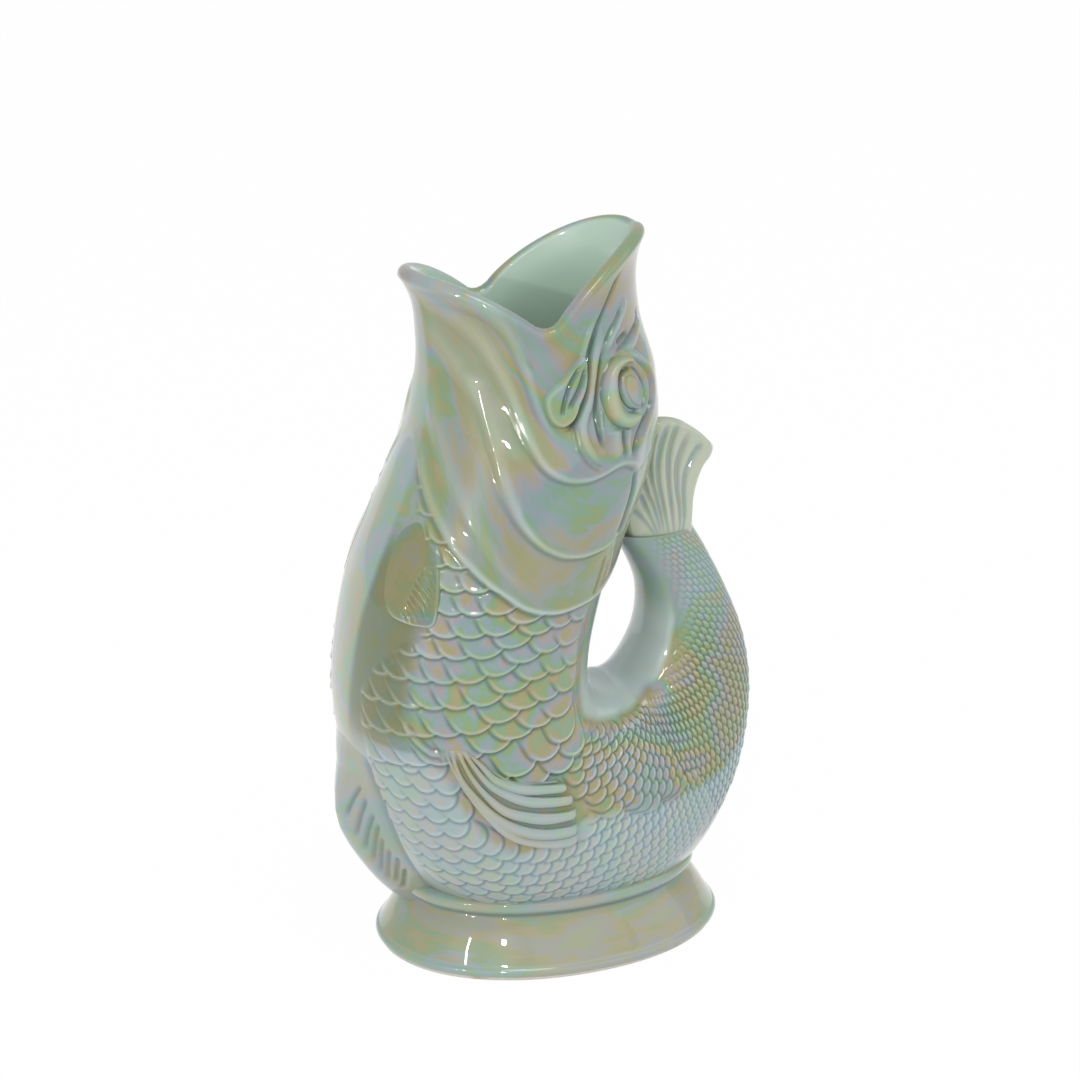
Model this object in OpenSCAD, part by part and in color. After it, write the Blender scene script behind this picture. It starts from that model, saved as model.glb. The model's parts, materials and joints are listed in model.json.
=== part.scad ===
// Gurgle jug: a fish that stands on an oval foot. Its open mouth pours, and its hollow tail
// curls up behind the head as the handle. The belly of the fish faces -X, its tail +X.

/* [Overall] */
// Height of the jug, to just over its back lip
jug_h = 280; // [250:5:310]
// Length from the front of the belly to the outside of the tail
jug_l = 168; // [150:2:186]
// Width across the belly
body_w = 102; // [92:1:112]
// Thickness of the cast wall
wall_t = 5; // [4:0.5:6]
// Gap left between a pressed ornament and the skin that it sits on
seat_gap = 0.3; // [0.2:0.05:0.5]

/* [Mouth] */
// Thickness of the rolled lip
lip_t = 6.5; // [5.5:0.5:8]
// How far the lip flares out at the front
front_flare = 4.8; // [3:0.2:6]
// How far the lip flares out at the back
back_flare = 3.2; // [2:0.2:5]
// Depth below the rim over which the flare dies away
flare_depth = 6.5; // [5:0.5:9]

/* [Gills] */
// How far the gill cover stands proud of the scales
gill_rise = 2; // [1:0.25:3]
// How far each flowing gill fold steps up from the next
fold_rise = 1.2; // [0.5:0.1:1.6]

/* [Face] */
// Half height of the eye
eye_half_h = 13.5; // [10:0.5:15]
// Half width of the eye
eye_half_w = 11.5; // [9:0.5:12.5]
// How far the eyelid stands out
eye_rise = 4; // [2.5:0.25:5]
// How far the pupil stands out of the eye
pupil_rise = 1.2; // [0.5:0.1:2]
// Half length of the teardrop on the cheek
cheek_half_l = 12; // [9:0.5:13]
// Half width of the teardrop on the cheek
cheek_half_w = 6; // [4:0.5:7]
// How far the teardrop stands out
cheek_rise = 2.6; // [1.5:0.1:3.5]

/* [Fins] */
// Thickness of a pectoral fin at its middle
pectoral_t = 2; // [1:0.25:3]
// Thickness of a pelvic fin at its tip
pelvic_t = 5; // [3:0.5:6]
// Depth of the grooves between the ribs of a fin
rib_depth = 0.8; // [0.4:0.1:1]
// Thickness of the ventral fin
ventral_t = 7; // [5:0.5:9]
// How far the ventral fin stands out of the belly
ventral_reach = 6.5; // [5:0.5:10]
// Thickness of the anal fin
anal_t = 6; // [4:0.5:8]
// How far the anal fin stands out under the tail
anal_reach = 6; // [4:0.5:8]
// Thickness of the tail fan where it leaves the tail
fan_base_t = 18; // [14:0.5:22]
// Thickness of the tail fan at its free edge
fan_tip_t = 9; // [6:0.5:12]
// How far the free edge of the tail fan bulges up
fan_crown = 5; // [3:0.5:7]

/* [Foot] */
// Length of the foot over its rolled rim
foot_l = 136; // [128:1:146]
// Width of the foot over its rolled rim
foot_w = 103; // [97:1:110]
// Length of the foot at its waist, under the body
waist_l = 115; // [108:1:119]
// Width of the foot at its waist, under the body
waist_w = 81; // [76:1:86]
// Height of the foot up to the body
foot_h = 27; // [22:1:32]
// Thickness of the foot's wall
foot_wall = 5.5; // [4:0.5:7]
// Height of the bare ring that the foot stands on
dry_ring_h = 1.5; // [1:0.25:2.5]
// Width of the bare ring
dry_ring_w = 7; // [5:0.5:9]

/* [Hidden] */

half_l = jug_l / 2;
half_w = body_w / 2;

glaze = [0.66, 0.75, 0.67];
glaze_deep = [0.56, 0.68, 0.60];
glaze_pale = [0.73, 0.79, 0.75];
glaze_ochre = [0.68, 0.68, 0.52];
dry_clay = [0.87, 0.85, 0.80];

// Cross sections from above the mouth down to the gills, all level and evenly spaced.
// Each row: back of the head, front of the throat, half width, squareness of the oval.
head_top_share = 1.035;
head_step_share = 0.059;
head_shares = [
    [0.410, -0.640, 0.627, 1.85],
    [0.399, -0.631, 0.643, 1.85],
    [0.393, -0.613, 0.667, 1.90],
    [0.411, -0.603, 0.706, 1.95],
    [0.446, -0.607, 0.784, 2.00],
    [0.458, -0.643, 0.853, 2.00],
    [0.417, -0.720, 0.912, 2.05],
    [0.339, -0.804, 0.951, 2.10],
    [0.262, -0.887, 0.980, 2.10],
    [0.202, -0.946, 1.000, 2.10]
];
// Cross sections that fan round the loop of the handle, from the breast to the end of the tail.
// Each row: inner point along and up, outer point along and up, half width, squareness.
fan_shares = [
    [0.155, 0.446, -0.982, 0.436, 1.000, 2.15],
    [0.143, 0.400, -0.994, 0.368, 1.000, 2.15],
    [0.161, 0.371, -0.970, 0.300, 0.990, 2.15],
    [0.190, 0.359, -0.905, 0.232, 0.980, 2.10],
    [0.214, 0.355, -0.810, 0.168, 0.971, 2.10],
    [0.238, 0.353, -0.667, 0.104, 0.961, 2.10],
    [0.256, 0.352, -0.464, 0.054, 0.951, 2.10],
    [0.274, 0.352, -0.190, 0.029, 0.931, 2.10],
    [0.292, 0.354, 0.119, 0.025, 0.902, 2.10],
    [0.310, 0.356, 0.405, 0.039, 0.843, 2.10],
    [0.327, 0.359, 0.643, 0.075, 0.765, 2.05],
    [0.351, 0.366, 0.810, 0.129, 0.686, 2.00],
    [0.379, 0.379, 0.923, 0.196, 0.608, 2.00],
    [0.407, 0.396, 0.982, 0.268, 0.539, 2.00],
    [0.438, 0.421, 0.994, 0.339, 0.471, 2.00],
    [0.452, 0.454, 0.958, 0.407, 0.402, 2.00],
    [0.440, 0.489, 0.875, 0.471, 0.333, 2.00],
    [0.387, 0.527, 0.780, 0.527, 0.275, 2.00],
    [0.315, 0.561, 0.708, 0.564, 0.225, 2.00]
];
sections = concat(
    [for (k = [0:len(head_shares) - 1])
        let (h = head_shares[k], level = head_top_share - k * head_step_share)
        [h[0], level, h[1], level, h[2], h[3]]],
    fan_shares);
last_section = len(sections) - 1;

// Places along the fish are shares of the step from one cross section to the next: here the
// seams between the separately cast shells, and the end of the air chamber
neck_share = 9.5;
root_share = 21;
chamber_share = 27.3;

// Rim of the mouth, at the middle of its bead: heights at the front lip, the corner and the
// peak of the back lip, and the angles of the corner and of the peak
front_rim_share = 0.9405;
corner_rim_share = 0.868;
back_rim_share = 0.9835;
corner_angle = 82;
peak_angle = 165;
rim_soften_angle = 6;
corner_fall_power = 2.6;
peak_rise_power = 0.85;
flare_power = 1.2;

// Counts of columns round every shell and of rows along each
shell_columns = 48;
head_rows = 22;
body_rows = 28;
tail_rows = 16;
inner_row_step = 2;
foot_columns = 56;
bead_steps = 4;

// Foot profile from the table up: height share, spread share between waist and rim
foot_outer_shares = [
    [0.060, 1.00], [0.140, 1.00], [0.210, 0.93], [0.290, 0.78], [0.430, 0.56], [0.590, 0.28],
    [0.725, 0.06], [0.825, -0.03], [0.920, 0.00], [1.000, 0.05]
];
foot_inner_shares = [[1.000, 0.00], [0.600, 0.20], [0.333, 0.60]];
foot_stand_share = 0.93;
foot_squareness = 2.1;

// Lower edge of the gill cover: its place along the fish at every 20 degrees from belly to back
gill_edge_shares = [5.0, 5.7, 6.65, 7.4, 8.1, 8.6, 8.7, 8.35, 7.7, 7.3];
// Lower edges of the two folds above it
fold_two_edge_shares = [4.0, 4.4, 5.0, 5.8, 6.85, 7.4, 7.55, 7.5, 7.2, 6.9];
fold_one_edge_shares = [3.0, 3.3, 3.8, 4.5, 5.4, 5.78, 5.6, 5.4, 5.2, 5.0];
edge_pitch_angle = 20;
edge_width_share = 0.4;
// Length along the fish, below the rim, over which the folds rise out of the smooth lip
lip_clear_share = 3;

// Eye and cheek: place along the fish, angle from the belly, and profile from the edge inward,
// each row a share of the spread and a share of the rise
eye_share = 4.05;
eye_angle = 123;
eye_profile_shares = [[1, 0], [0.97, 0.45], [0.85, 0.85], [0.72, 1], [0.55, 0.9], [0.48, 0.8]];
pupil_spread_share = 0.42;
cheek_share = 4.0;
cheek_angle = 85;
cheek_tilt_angle = -35;
cheek_profile_shares = [[1, 0], [0.9, 0.6], [0.65, 0.95], [0.35, 1]];
button_columns = 24;

// Corners of the side fins: two at the root, then two at the tip
pectoral_corner_shares = [7.3, 7.5, 8.75, 8.85];
pectoral_corner_angles = [22, 44, 36, 53];
pectoral_bow_angle = 3;
pectoral_ribs = 6;
pectoral_rows = 6;
pectoral_side_share = 0.35;
pectoral_root_share = 0.4;
pelvic_corner_shares = [11.4, 11.3, 16.4, 14.1];
pelvic_corner_angles = [61, 68, 88, 104];
pelvic_bow_angle = -3;
pelvic_ribs = 6;
pelvic_rows = 9;
pelvic_root_share = 0.25;

// Places between which the fan lies along the back of the head, and its free edge:
// along and up, from the tail to the top corner
fan_low_share = 7.9;
fan_high_share = 5.2;
fan_right_shares = [[0.708, 0.564], [0.720, 0.590], [0.745, 0.616], [0.785, 0.643], [0.803, 0.665]];
fan_ribs = 9;
fan_rows = 7;
fan_side_share = 0.55;

// Fins in the middle plane: places along the skin that each one follows, then its free edge
// from the foot up, first over the foot and then over the skin. A row on the foot starts with
// a height share and a spread share, and each row of an edge ends with a share of the reach.
foot_fin_shares = [[1.000, 0.05], [0.920, 0.00], [0.825, -0.03], [0.725, 0.06], [0.590, 0.28]];
ventral_skin_shares = [12.1, 12.6, 13.2, 13.8, 14.4, 15];
ventral_foot_shares = [[0.590, 0.28, 0.1], [0.725, 0.06, 0.7], [0.825, -0.03, 0.9], [0.920, 0.00, 1]];
ventral_edge_shares = [[14.6, 0.95], [14.1, 1], [13.6, 1], [13.1, 1], [12.65, 0.85], [12.3, 0.4]];
anal_skin_shares = [21.6, 21.3, 21, 20.7, 20.45];
anal_foot_shares = [[0.590, 0.28, 0.1], [0.725, 0.06, 0.6], [0.825, -0.03, 0.95]];
anal_edge_shares = [[20.7, 0.93], [20.95, 1], [21.15, 0.95], [21.35, 0.7], [21.5, 0.25]];

function mix(a, b, t) = a + (b - a) * t;
function clamp01(t) = min(max(t, 0), 1);
function smooth(t) = let (c = clamp01(t)) c * c * (3 - 2 * c);
function signed_pow(v, p) = sign(v) * pow(abs(v), p);

// Smooth curve through evenly spaced rows
function through(rows, at) =
    let (top = len(rows) - 1,
         place = min(max(at, 0), top),
         i = min(floor(place), top - 1),
         t = place - i,
         p1 = rows[i],
         p2 = rows[i + 1],
         p0 = i > 0 ? rows[i - 1] : 2 * p1 - p2,
         p3 = i < top - 1 ? rows[i + 2] : 2 * p2 - p1)
    p1 + (p2 - p0) * t / 2
       + (2 * p0 - 5 * p1 + 4 * p2 - p3) * t * t / 2
       + (3 * p1 - p0 - 3 * p2 + p3) * t * t * t / 2;

// Point on the fish at a section number and an angle from the belly (0) to the back (180),
// moved outward by rise; positive angles lie on the left side
function skin(s, angle, rise = 0) =
    let (q = through(sections, s),
         inner = [q[0] * half_l, 0, q[1] * jug_h],
         outer = [q[2] * half_l, 0, q[3] * jug_h],
         middle = (inner + outer) / 2,
         reach = (outer - inner) / 2,
         grow = 1 + rise / norm(reach),
         power = 2 / q[5],
         along = signed_pow(cos(angle), power),
         across = signed_pow(sin(angle), power))
    middle + reach * grow * along - [0, (q[4] * half_w + rise) * across, 0];

// Angle from the belly, folded to 0..180
function fold_angle(angle) =
    let (a = abs(angle) % 360)
    a > 180 ? 360 - a : a;

function edge_step(edge, s, angle) =
    let (place = through(edge, fold_angle(angle) / edge_pitch_angle))
    smooth((place + edge_width_share - s) / edge_width_share);

// Height of the gill cover and its folds over the plain skin
function relief(s, angle) =
    gill_rise * edge_step(gill_edge_shares, s, angle)
    + fold_rise * edge_step(fold_two_edge_shares, s, angle)
    + fold_rise * edge_step(fold_one_edge_shares, s, angle)
    - (gill_rise + 2 * fold_rise) * smooth(rim_place(angle) + lip_clear_share - s);

// Height share of the rim, before and after its corner is softened
function raw_rim(angle) =
    let (a = fold_angle(angle))
    a < corner_angle
        ? mix(front_rim_share, corner_rim_share, pow(a / corner_angle, corner_fall_power))
        : mix(corner_rim_share, back_rim_share,
              pow(sin(90 * (a - corner_angle) / (peak_angle - corner_angle)), peak_rise_power));
function rim_share(angle) =
    let (half_soft = rim_soften_angle / 2)
    (raw_rim(angle - rim_soften_angle) + raw_rim(angle - half_soft) + raw_rim(angle)
     + raw_rim(angle + half_soft) + raw_rim(angle + rim_soften_angle)) / 5;
function rim_place(angle) = (head_top_share - rim_share(angle)) / head_step_share;

// Outward flare of the lip
function flare(s, angle) =
    let (below = (s - rim_place(angle)) * head_step_share * jug_h,
         reach = mix(front_flare, back_flare, (1 - cos(angle)) / 2))
    reach * exp(-pow(max(below, 0) / flare_depth, flare_power));

function head_outer(s, angle) = skin(s, angle, relief(s, angle) + flare(s, angle));
function head_inner(s, angle) =
    skin(s, angle, flare(s, angle) - mix(wall_t, lip_t, flare(s, angle) / front_flare));

// Joins a closed grid of rings, each a closed profile, round an opening
function torus_faces(rings, points) = [
    for (i = [0:rings - 1])
        for (j = [0:points - 1])
            let (i2 = (i + 1) % rings,
                 j2 = (j + 1) % points,
                 a = i * points + j,
                 b = i * points + j2,
                 c = i2 * points + j2,
                 d = i2 * points + j)
            each [[a, b, c], [a, c, d]]
];

// Joins stacked rings and closes both ends on a single point: first and last in the list
function capped_faces(rings, points) =
    let (last = rings * points + 1)
    concat(
        [for (j = [0:points - 1]) [0, 1 + (j + 1) % points, 1 + j]],
        [for (i = [0:rings - 2])
            for (j = [0:points - 1])
                let (j2 = (j + 1) % points,
                     a = 1 + i * points + j,
                     b = 1 + i * points + j2,
                     c = 1 + (i + 1) * points + j2,
                     d = 1 + (i + 1) * points + j)
                each [[a, b, c], [a, c, d]]],
        [for (j = [0:points - 1])
            [last, 1 + (rings - 1) * points + j, 1 + (rings - 1) * points + (j + 1) % points]]);

// Joins a top sheet and a bottom sheet of rows by columns into one closed slab
function slab_faces(rows, columns) =
    let (sheet = rows * columns)
    concat(
        [for (i = [0:rows - 2])
            for (j = [0:columns - 2])
                let (a = i * columns + j, b = a + 1, c = a + columns + 1, d = a + columns)
                each [[a, b, c], [a, c, d],
                      [sheet + a, sheet + c, sheet + b], [sheet + a, sheet + d, sheet + c]]],
        [for (i = [0:rows - 2])
            let (a = i * columns, d = a + columns, b = a + columns - 1, c = b + columns)
            each [[a, d, sheet + d], [a, sheet + d, sheet + a],
                  [b, sheet + c, c], [b, sheet + b, sheet + c]]],
        [for (j = [0:columns - 2])
            let (a = j, b = j + 1, d = (rows - 1) * columns + j, c = d + 1)
            each [[a, sheet + b, b], [a, sheet + a, sheet + b],
                  [d, c, sheet + c], [d, sheet + c, sheet + d]]]);

// Profile of the head wall at one angle: up the outside, over the bead, down the inside
function head_profile(angle) =
    let (top = rim_place(angle),
         out = head_outer(top, angle),
         in = head_inner(top, angle),
         centre = (out + in) / 2,
         arm = (out - in) / 2,
         radius = norm(arm))
    concat(
        [for (k = [0:head_rows - 1])
            head_outer(mix(neck_share, top, sqrt(k / head_rows)), angle)],
        [for (k = [0:bead_steps])
            let (turn = 180 * k / bead_steps)
            centre + arm * cos(turn) + [0, 0, radius * sin(turn)]],
        [for (k = [head_rows - inner_row_step:-inner_row_step:1])
            head_inner(mix(neck_share, top, sqrt(k / head_rows)), angle)],
        [skin(neck_share, angle, -wall_t)]);

module head_shell() {
    profiles = [for (c = [0:shell_columns - 1]) head_profile(360 * c / shell_columns)];
    color(glaze)
        polyhedron(
            points = [for (p = profiles) each p],
            faces = torus_faces(shell_columns, len(profiles[0])));
}

// Keeps a point above the joint with the foot
function above(p, level) = [p[0], p[1], max(p[2], level)];

function body_profile(angle) = concat(
    [for (k = [0:body_rows])
        above(skin(mix(root_share, neck_share, k / body_rows), angle), foot_h)],
    [for (k = [body_rows:-inner_row_step:0])
        above(skin(mix(root_share, neck_share, k / body_rows), angle, -wall_t), foot_h + wall_t)]);

module body_shell() {
    profiles = [for (c = [0:shell_columns - 1]) body_profile(360 * c / shell_columns)];
    color(glaze_pale)
        polyhedron(
            points = [for (p = profiles) each p],
            faces = torus_faces(shell_columns, len(profiles[0])));
}

function tail_ring(s, rise) =
    [for (c = [0:shell_columns - 1]) skin(s, 360 * c / shell_columns, rise)];
function section_centre(s) = (skin(s, 0) + skin(s, 180)) / 2;

module tail_handle() {
    inner_sections = [for (k = [tail_rows:-inner_row_step:1])
        mix(root_share, chamber_share, k / tail_rows)];
    outer_sections = [for (k = [0:tail_rows]) mix(root_share, last_section, k / tail_rows)];
    rings = concat(
        [for (s = inner_sections) tail_ring(s, -wall_t)],
        [tail_ring(root_share, -wall_t)],
        [for (s = outer_sections) tail_ring(s, 0)]);
    color(glaze)
        polyhedron(
            points = concat([section_centre(chamber_share)], [for (r = rings) each r],
                            [section_centre(last_section)]),
            faces = capped_faces(len(rings), shell_columns));
}

// Point on the foot: an oval at a height share, between the waist (0) and the rim (1)
function foot_point(angle, height, spread, inset) =
    let (power = 2 / foot_squareness)
    [(mix(waist_l, foot_l, spread) / 2 - inset) * signed_pow(cos(angle), power),
     (mix(waist_w, foot_w, spread) / 2 - inset) * signed_pow(sin(angle), power),
     mix(dry_ring_h, foot_h, height)];

module foot() {
    stand = foot_stand_share;
    profiles = [for (c = [0:foot_columns - 1])
        let (angle = 360 * c / foot_columns)
        concat(
            [foot_point(angle, 0, stand, 0)],
            [for (row = foot_outer_shares) foot_point(angle, row[0], row[1], 0)],
            [for (row = foot_inner_shares) foot_point(angle, row[0], row[1], foot_wall)],
            [foot_point(angle, 0, stand, dry_ring_w)])];
    color(glaze_ochre)
        polyhedron(
            points = [for (p = profiles) each p],
            faces = torus_faces(foot_columns, len(profiles[0])));
}

function foot_oval(spread, inset) = [for (c = [0:foot_columns - 1])
    let (p = foot_point(360 * c / foot_columns, 0, spread, inset))
    [p[0], p[1]]];

// Bare, flat ring under the foot
module foot_ring() {
    color(dry_clay)
        linear_extrude(dry_ring_h)
            difference() {
                polygon(foot_oval(foot_stand_share, 0));
                polygon(foot_oval(foot_stand_share, dry_ring_w));
            }
}

// Skin with its relief, where an ornament sits
function seat(s, angle, rise) =
    skin(s, angle, (s < neck_share ? relief(s, angle) : 0) + seat_gap + rise);

// Slab that follows the skin between four corners, two at its root and two at its tip, bowed
// sideways by an angle; thick is a function of the place across and along
module skin_slab(places, angles, bow, rows, columns, thick) {
    spots = [for (i = [0:rows - 1])
        for (j = [0:columns - 1])
            let (v = i / (rows - 1),
                 u = j / (columns - 1))
            [mix(mix(places[0], places[1], u), mix(places[2], places[3], u), v),
             mix(mix(angles[0], angles[1], u), mix(angles[2], angles[3], u), v) + bow * 4 * v * (1 - v),
             thick(u, v)]];
    polyhedron(
        points = concat(
            [for (p = spots) seat(p[0], p[1], p[2])],
            [for (p = spots) seat(p[0], p[1], 0)]),
        faces = slab_faces(rows, columns));
}

module on_side(side) {
    if (side > 0)
        children();
    else
        mirror([0, 1, 0])
            children();
}

// Grooves between ribs that run along a fin
function rib_groove(ribs, u) = rib_depth * (1 - cos(360 * ribs * u)) / 2;

module pectoral_fin(side) {
    thick = function (u, v)
        pectoral_t * mix(pectoral_side_share, 1, sin(180 * u)) * mix(pectoral_root_share, 1, sin(150 * v))
        + rib_depth - v * rib_groove(pectoral_ribs, u);
    color(glaze_ochre)
        on_side(side)
            skin_slab(pectoral_corner_shares, pectoral_corner_angles, pectoral_bow_angle,
                      pectoral_rows, 2 * pectoral_ribs + 1, thick);
}

module pelvic_fin(side) {
    thick = function (u, v)
        pelvic_t * mix(pelvic_root_share, 1, v) - rib_groove(pelvic_ribs, u);
    color(glaze_pale)
        on_side(side)
            skin_slab(pelvic_corner_shares, pelvic_corner_angles, pelvic_bow_angle,
                      pelvic_rows, 2 * pelvic_ribs + 1, thick);
}

// Round ornament on the skin: rises is a list of [spread share, rise] from its edge inward
module skin_button(place, angle, half_h, half_w, tilt, rises) {
    girth = norm(skin(place, angle + 1) - skin(place, angle - 1)) / 2;
    pitch = norm(skin(place + 1, angle) - skin(place - 1, angle)) / 2;
    rings = [for (row = rises) [for (c = [0:button_columns - 1])
        let (turn = 360 * c / button_columns,
             x = half_w * row[0] * cos(turn),
             y = half_h * row[0] * sin(turn))
        seat(place + (y * cos(tilt) - x * sin(tilt)) / pitch,
             angle + (x * cos(tilt) + y * sin(tilt)) / girth,
             row[1])]];
    polyhedron(
        points = concat([seat(place, angle, 0)], [for (r = rings) each r],
                        [seat(place, angle, rises[len(rises) - 1][1])]),
        faces = capped_faces(len(rings), button_columns));
}

module eye(side) {
    lid = [for (row = eye_profile_shares) [row[0], row[1] * eye_rise]];
    pupil = [pupil_spread_share, lid[len(lid) - 1][1] + pupil_rise];
    color(glaze_deep)
        on_side(side)
            skin_button(eye_share, eye_angle, eye_half_h, eye_half_w, 0, concat(lid, [pupil]));
}

module cheek(side) {
    rises = [for (row = cheek_profile_shares) [row[0], row[1] * cheek_rise]];
    color(glaze_deep)
        on_side(side)
            skin_button(cheek_share, cheek_angle, cheek_half_l, cheek_half_w, cheek_tilt_angle, rises);
}

// Fan at the end of the tail: it stands on the flat end of the tail and leans on the head
function fan_left(v) =
    let (s = mix(fan_low_share, fan_high_share, v),
         stand_off = seat_gap + relief(s, 180))
    skin(s, 180, stand_off);
function fan_edge_point(share) = [share[0] * half_l, 0, share[1] * jug_h];
function fan_right(v) =
    let (p = through(fan_right_shares, v * (len(fan_right_shares) - 1)))
    fan_edge_point(p);
function fan_spot(u, v) =
    let (base = mix(skin(last_section, 180), skin(last_section, 0), u),
         left = v == 0 ? skin(last_section, 180) : fan_left(v),
         row = mix(left, fan_right(v), u) + [0, 0, fan_crown * v * v * 4 * u * (1 - u)])
    v == 0 ? base : row;

module tail_fin() {
    places = [for (i = [0:fan_rows - 1])
        for (j = [0:2 * fan_ribs])
            let (v = i / (fan_rows - 1),
                 u = j / (2 * fan_ribs),
                 half = mix(fan_base_t, fan_tip_t, v) / 2 * mix(fan_side_share, 1, sin(180 * u))
                        - v * rib_groove(fan_ribs, u))
            [fan_spot(u, v), [0, half, 0]]];
    color(glaze_ochre)
        polyhedron(
            points = concat([for (p = places) p[0] + p[1]], [for (p = places) p[0] - p[1]]),
            faces = slab_faces(fan_rows, 2 * fan_ribs + 1));
}

// Outline points of the fins in the middle plane, which stand out by a reach from the skin
// or from the foot
function over_skin(place, reach) = let (p = skin(place, 0, seat_gap + reach)) [p[0], p[2]];
function over_foot(row, side, reach) =
    let (p = foot_point(0, row[0], row[1], -seat_gap - reach))
    [side * p[0], p[2]];

module middle_fin(side, skin_shares, foot_shares, edge_shares, reach, thick) {
    outline = concat(
        [for (place = skin_shares) over_skin(place, 0)],
        [for (row = foot_fin_shares) over_foot(row, side, 0)],
        [for (row = foot_shares) over_foot(row, side, row[2] * reach)],
        [for (row = edge_shares) over_skin(row[0], row[1] * reach)]);
    rotate([90, 0, 0])
        translate([0, 0, -thick / 2])
            linear_extrude(thick)
                polygon(outline);
}

module ventral_fin() {
    color(glaze_pale)
        middle_fin(-1, ventral_skin_shares, ventral_foot_shares, ventral_edge_shares,
                   ventral_reach, ventral_t);
}

module anal_fin() {
    color(glaze_pale)
        middle_fin(1, anal_skin_shares, anal_foot_shares, anal_edge_shares, anal_reach, anal_t);
}

foot();
foot_ring();
body_shell();
head_shell();
tail_handle();
tail_fin();
ventral_fin();
anal_fin();
pectoral_fin(1);  // pectoral_fin_left
pectoral_fin(-1);  // pectoral_fin_right
pelvic_fin(1);  // pelvic_fin_left
pelvic_fin(-1);  // pelvic_fin_right
eye(1);  // eye_left
eye(-1);  // eye_right
cheek(1);  // cheek_left
cheek(-1);  // cheek_right
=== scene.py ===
"""Gurgle jug: a glazed fish whose mouth pours and whose hollow tail is the handle."""
import json
import math

import bpy
import numpy as np
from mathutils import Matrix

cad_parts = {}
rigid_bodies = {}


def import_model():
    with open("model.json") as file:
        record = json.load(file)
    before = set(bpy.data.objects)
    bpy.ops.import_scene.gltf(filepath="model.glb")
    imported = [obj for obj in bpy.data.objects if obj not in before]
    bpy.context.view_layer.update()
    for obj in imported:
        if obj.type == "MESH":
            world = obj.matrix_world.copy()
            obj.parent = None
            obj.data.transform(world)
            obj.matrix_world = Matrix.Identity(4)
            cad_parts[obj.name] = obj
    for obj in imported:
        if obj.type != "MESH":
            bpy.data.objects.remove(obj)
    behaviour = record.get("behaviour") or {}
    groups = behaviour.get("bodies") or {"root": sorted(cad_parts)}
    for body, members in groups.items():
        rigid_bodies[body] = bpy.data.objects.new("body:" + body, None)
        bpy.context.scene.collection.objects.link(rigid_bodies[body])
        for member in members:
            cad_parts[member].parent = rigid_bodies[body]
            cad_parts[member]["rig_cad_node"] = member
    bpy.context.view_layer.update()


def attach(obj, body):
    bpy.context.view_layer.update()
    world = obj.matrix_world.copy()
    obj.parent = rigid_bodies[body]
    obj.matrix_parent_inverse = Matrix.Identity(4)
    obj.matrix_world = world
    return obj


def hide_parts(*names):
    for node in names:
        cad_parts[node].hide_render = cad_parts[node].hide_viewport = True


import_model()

MM = 0.001

# The loft that the solids have too: half length, half width and height of the fish, in metres,
# and its cross sections as shares of them
HALF_L = 0.084
HALF_W = 0.051
JUG_H = 0.280
HEAD_TOP_SHARE = 1.035
HEAD_STEP_SHARE = 0.059
HEAD_SHARES = [
    [0.410, -0.640, 0.627, 1.85], [0.399, -0.631, 0.643, 1.85], [0.393, -0.613, 0.667, 1.90],
    [0.411, -0.603, 0.706, 1.95], [0.446, -0.607, 0.784, 2.00], [0.458, -0.643, 0.853, 2.00],
    [0.417, -0.720, 0.912, 2.05], [0.339, -0.804, 0.951, 2.10], [0.262, -0.887, 0.980, 2.10],
    [0.202, -0.946, 1.000, 2.10],
]
FAN_SHARES = [
    [0.155, 0.446, -0.982, 0.436, 1.000, 2.15], [0.143, 0.400, -0.994, 0.368, 1.000, 2.15],
    [0.161, 0.371, -0.970, 0.300, 0.990, 2.15], [0.190, 0.359, -0.905, 0.232, 0.980, 2.10],
    [0.214, 0.355, -0.810, 0.168, 0.971, 2.10], [0.238, 0.353, -0.667, 0.104, 0.961, 2.10],
    [0.256, 0.352, -0.464, 0.054, 0.951, 2.10], [0.274, 0.352, -0.190, 0.029, 0.931, 2.10],
    [0.292, 0.354, 0.119, 0.025, 0.902, 2.10], [0.310, 0.356, 0.405, 0.039, 0.843, 2.10],
    [0.327, 0.359, 0.643, 0.075, 0.765, 2.05], [0.351, 0.366, 0.810, 0.129, 0.686, 2.00],
    [0.379, 0.379, 0.923, 0.196, 0.608, 2.00], [0.407, 0.396, 0.982, 0.268, 0.539, 2.00],
    [0.438, 0.421, 0.994, 0.339, 0.471, 2.00], [0.452, 0.454, 0.958, 0.407, 0.402, 2.00],
    [0.440, 0.489, 0.875, 0.471, 0.333, 2.00], [0.387, 0.527, 0.780, 0.527, 0.275, 2.00],
    [0.315, 0.561, 0.708, 0.564, 0.225, 2.00],
]
SECTIONS = np.array(
    [[back, HEAD_TOP_SHARE - k * HEAD_STEP_SHARE, front, HEAD_TOP_SHARE - k * HEAD_STEP_SHARE, w, n]
     for k, (back, front, w, n) in enumerate(HEAD_SHARES)] + FAN_SHARES)
LAST = len(SECTIONS) - 1
# Section numbers of the joints and of the end of the tail's air chamber
NECK = 9.5
ROOT = 21.0
CHAMBER = 27.3
WALL = 5.0 * MM
LIP = 6.5 * MM
FRONT_FLARE = 4.8 * MM
BACK_FLARE = 3.2 * MM
FLARE_DEPTH = 6.5 * MM
FOOT_H = 27.0 * MM
# Heights of the rim in front, at the corners of the mouth and behind, as shares of the jug's
FRONT_RIM = 0.9405
CORNER_RIM = 0.868
BACK_RIM = 0.9835
CORNER_ANGLE = 82
CLIMB_ANGLE = 83
# Powers that shape the rim's fall to the corners, its climb behind them, and the lip's turn outwards
RIM_FALL = 2.6
RIM_CLIMB = 0.85
FLARE_FADE = 1.2


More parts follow.
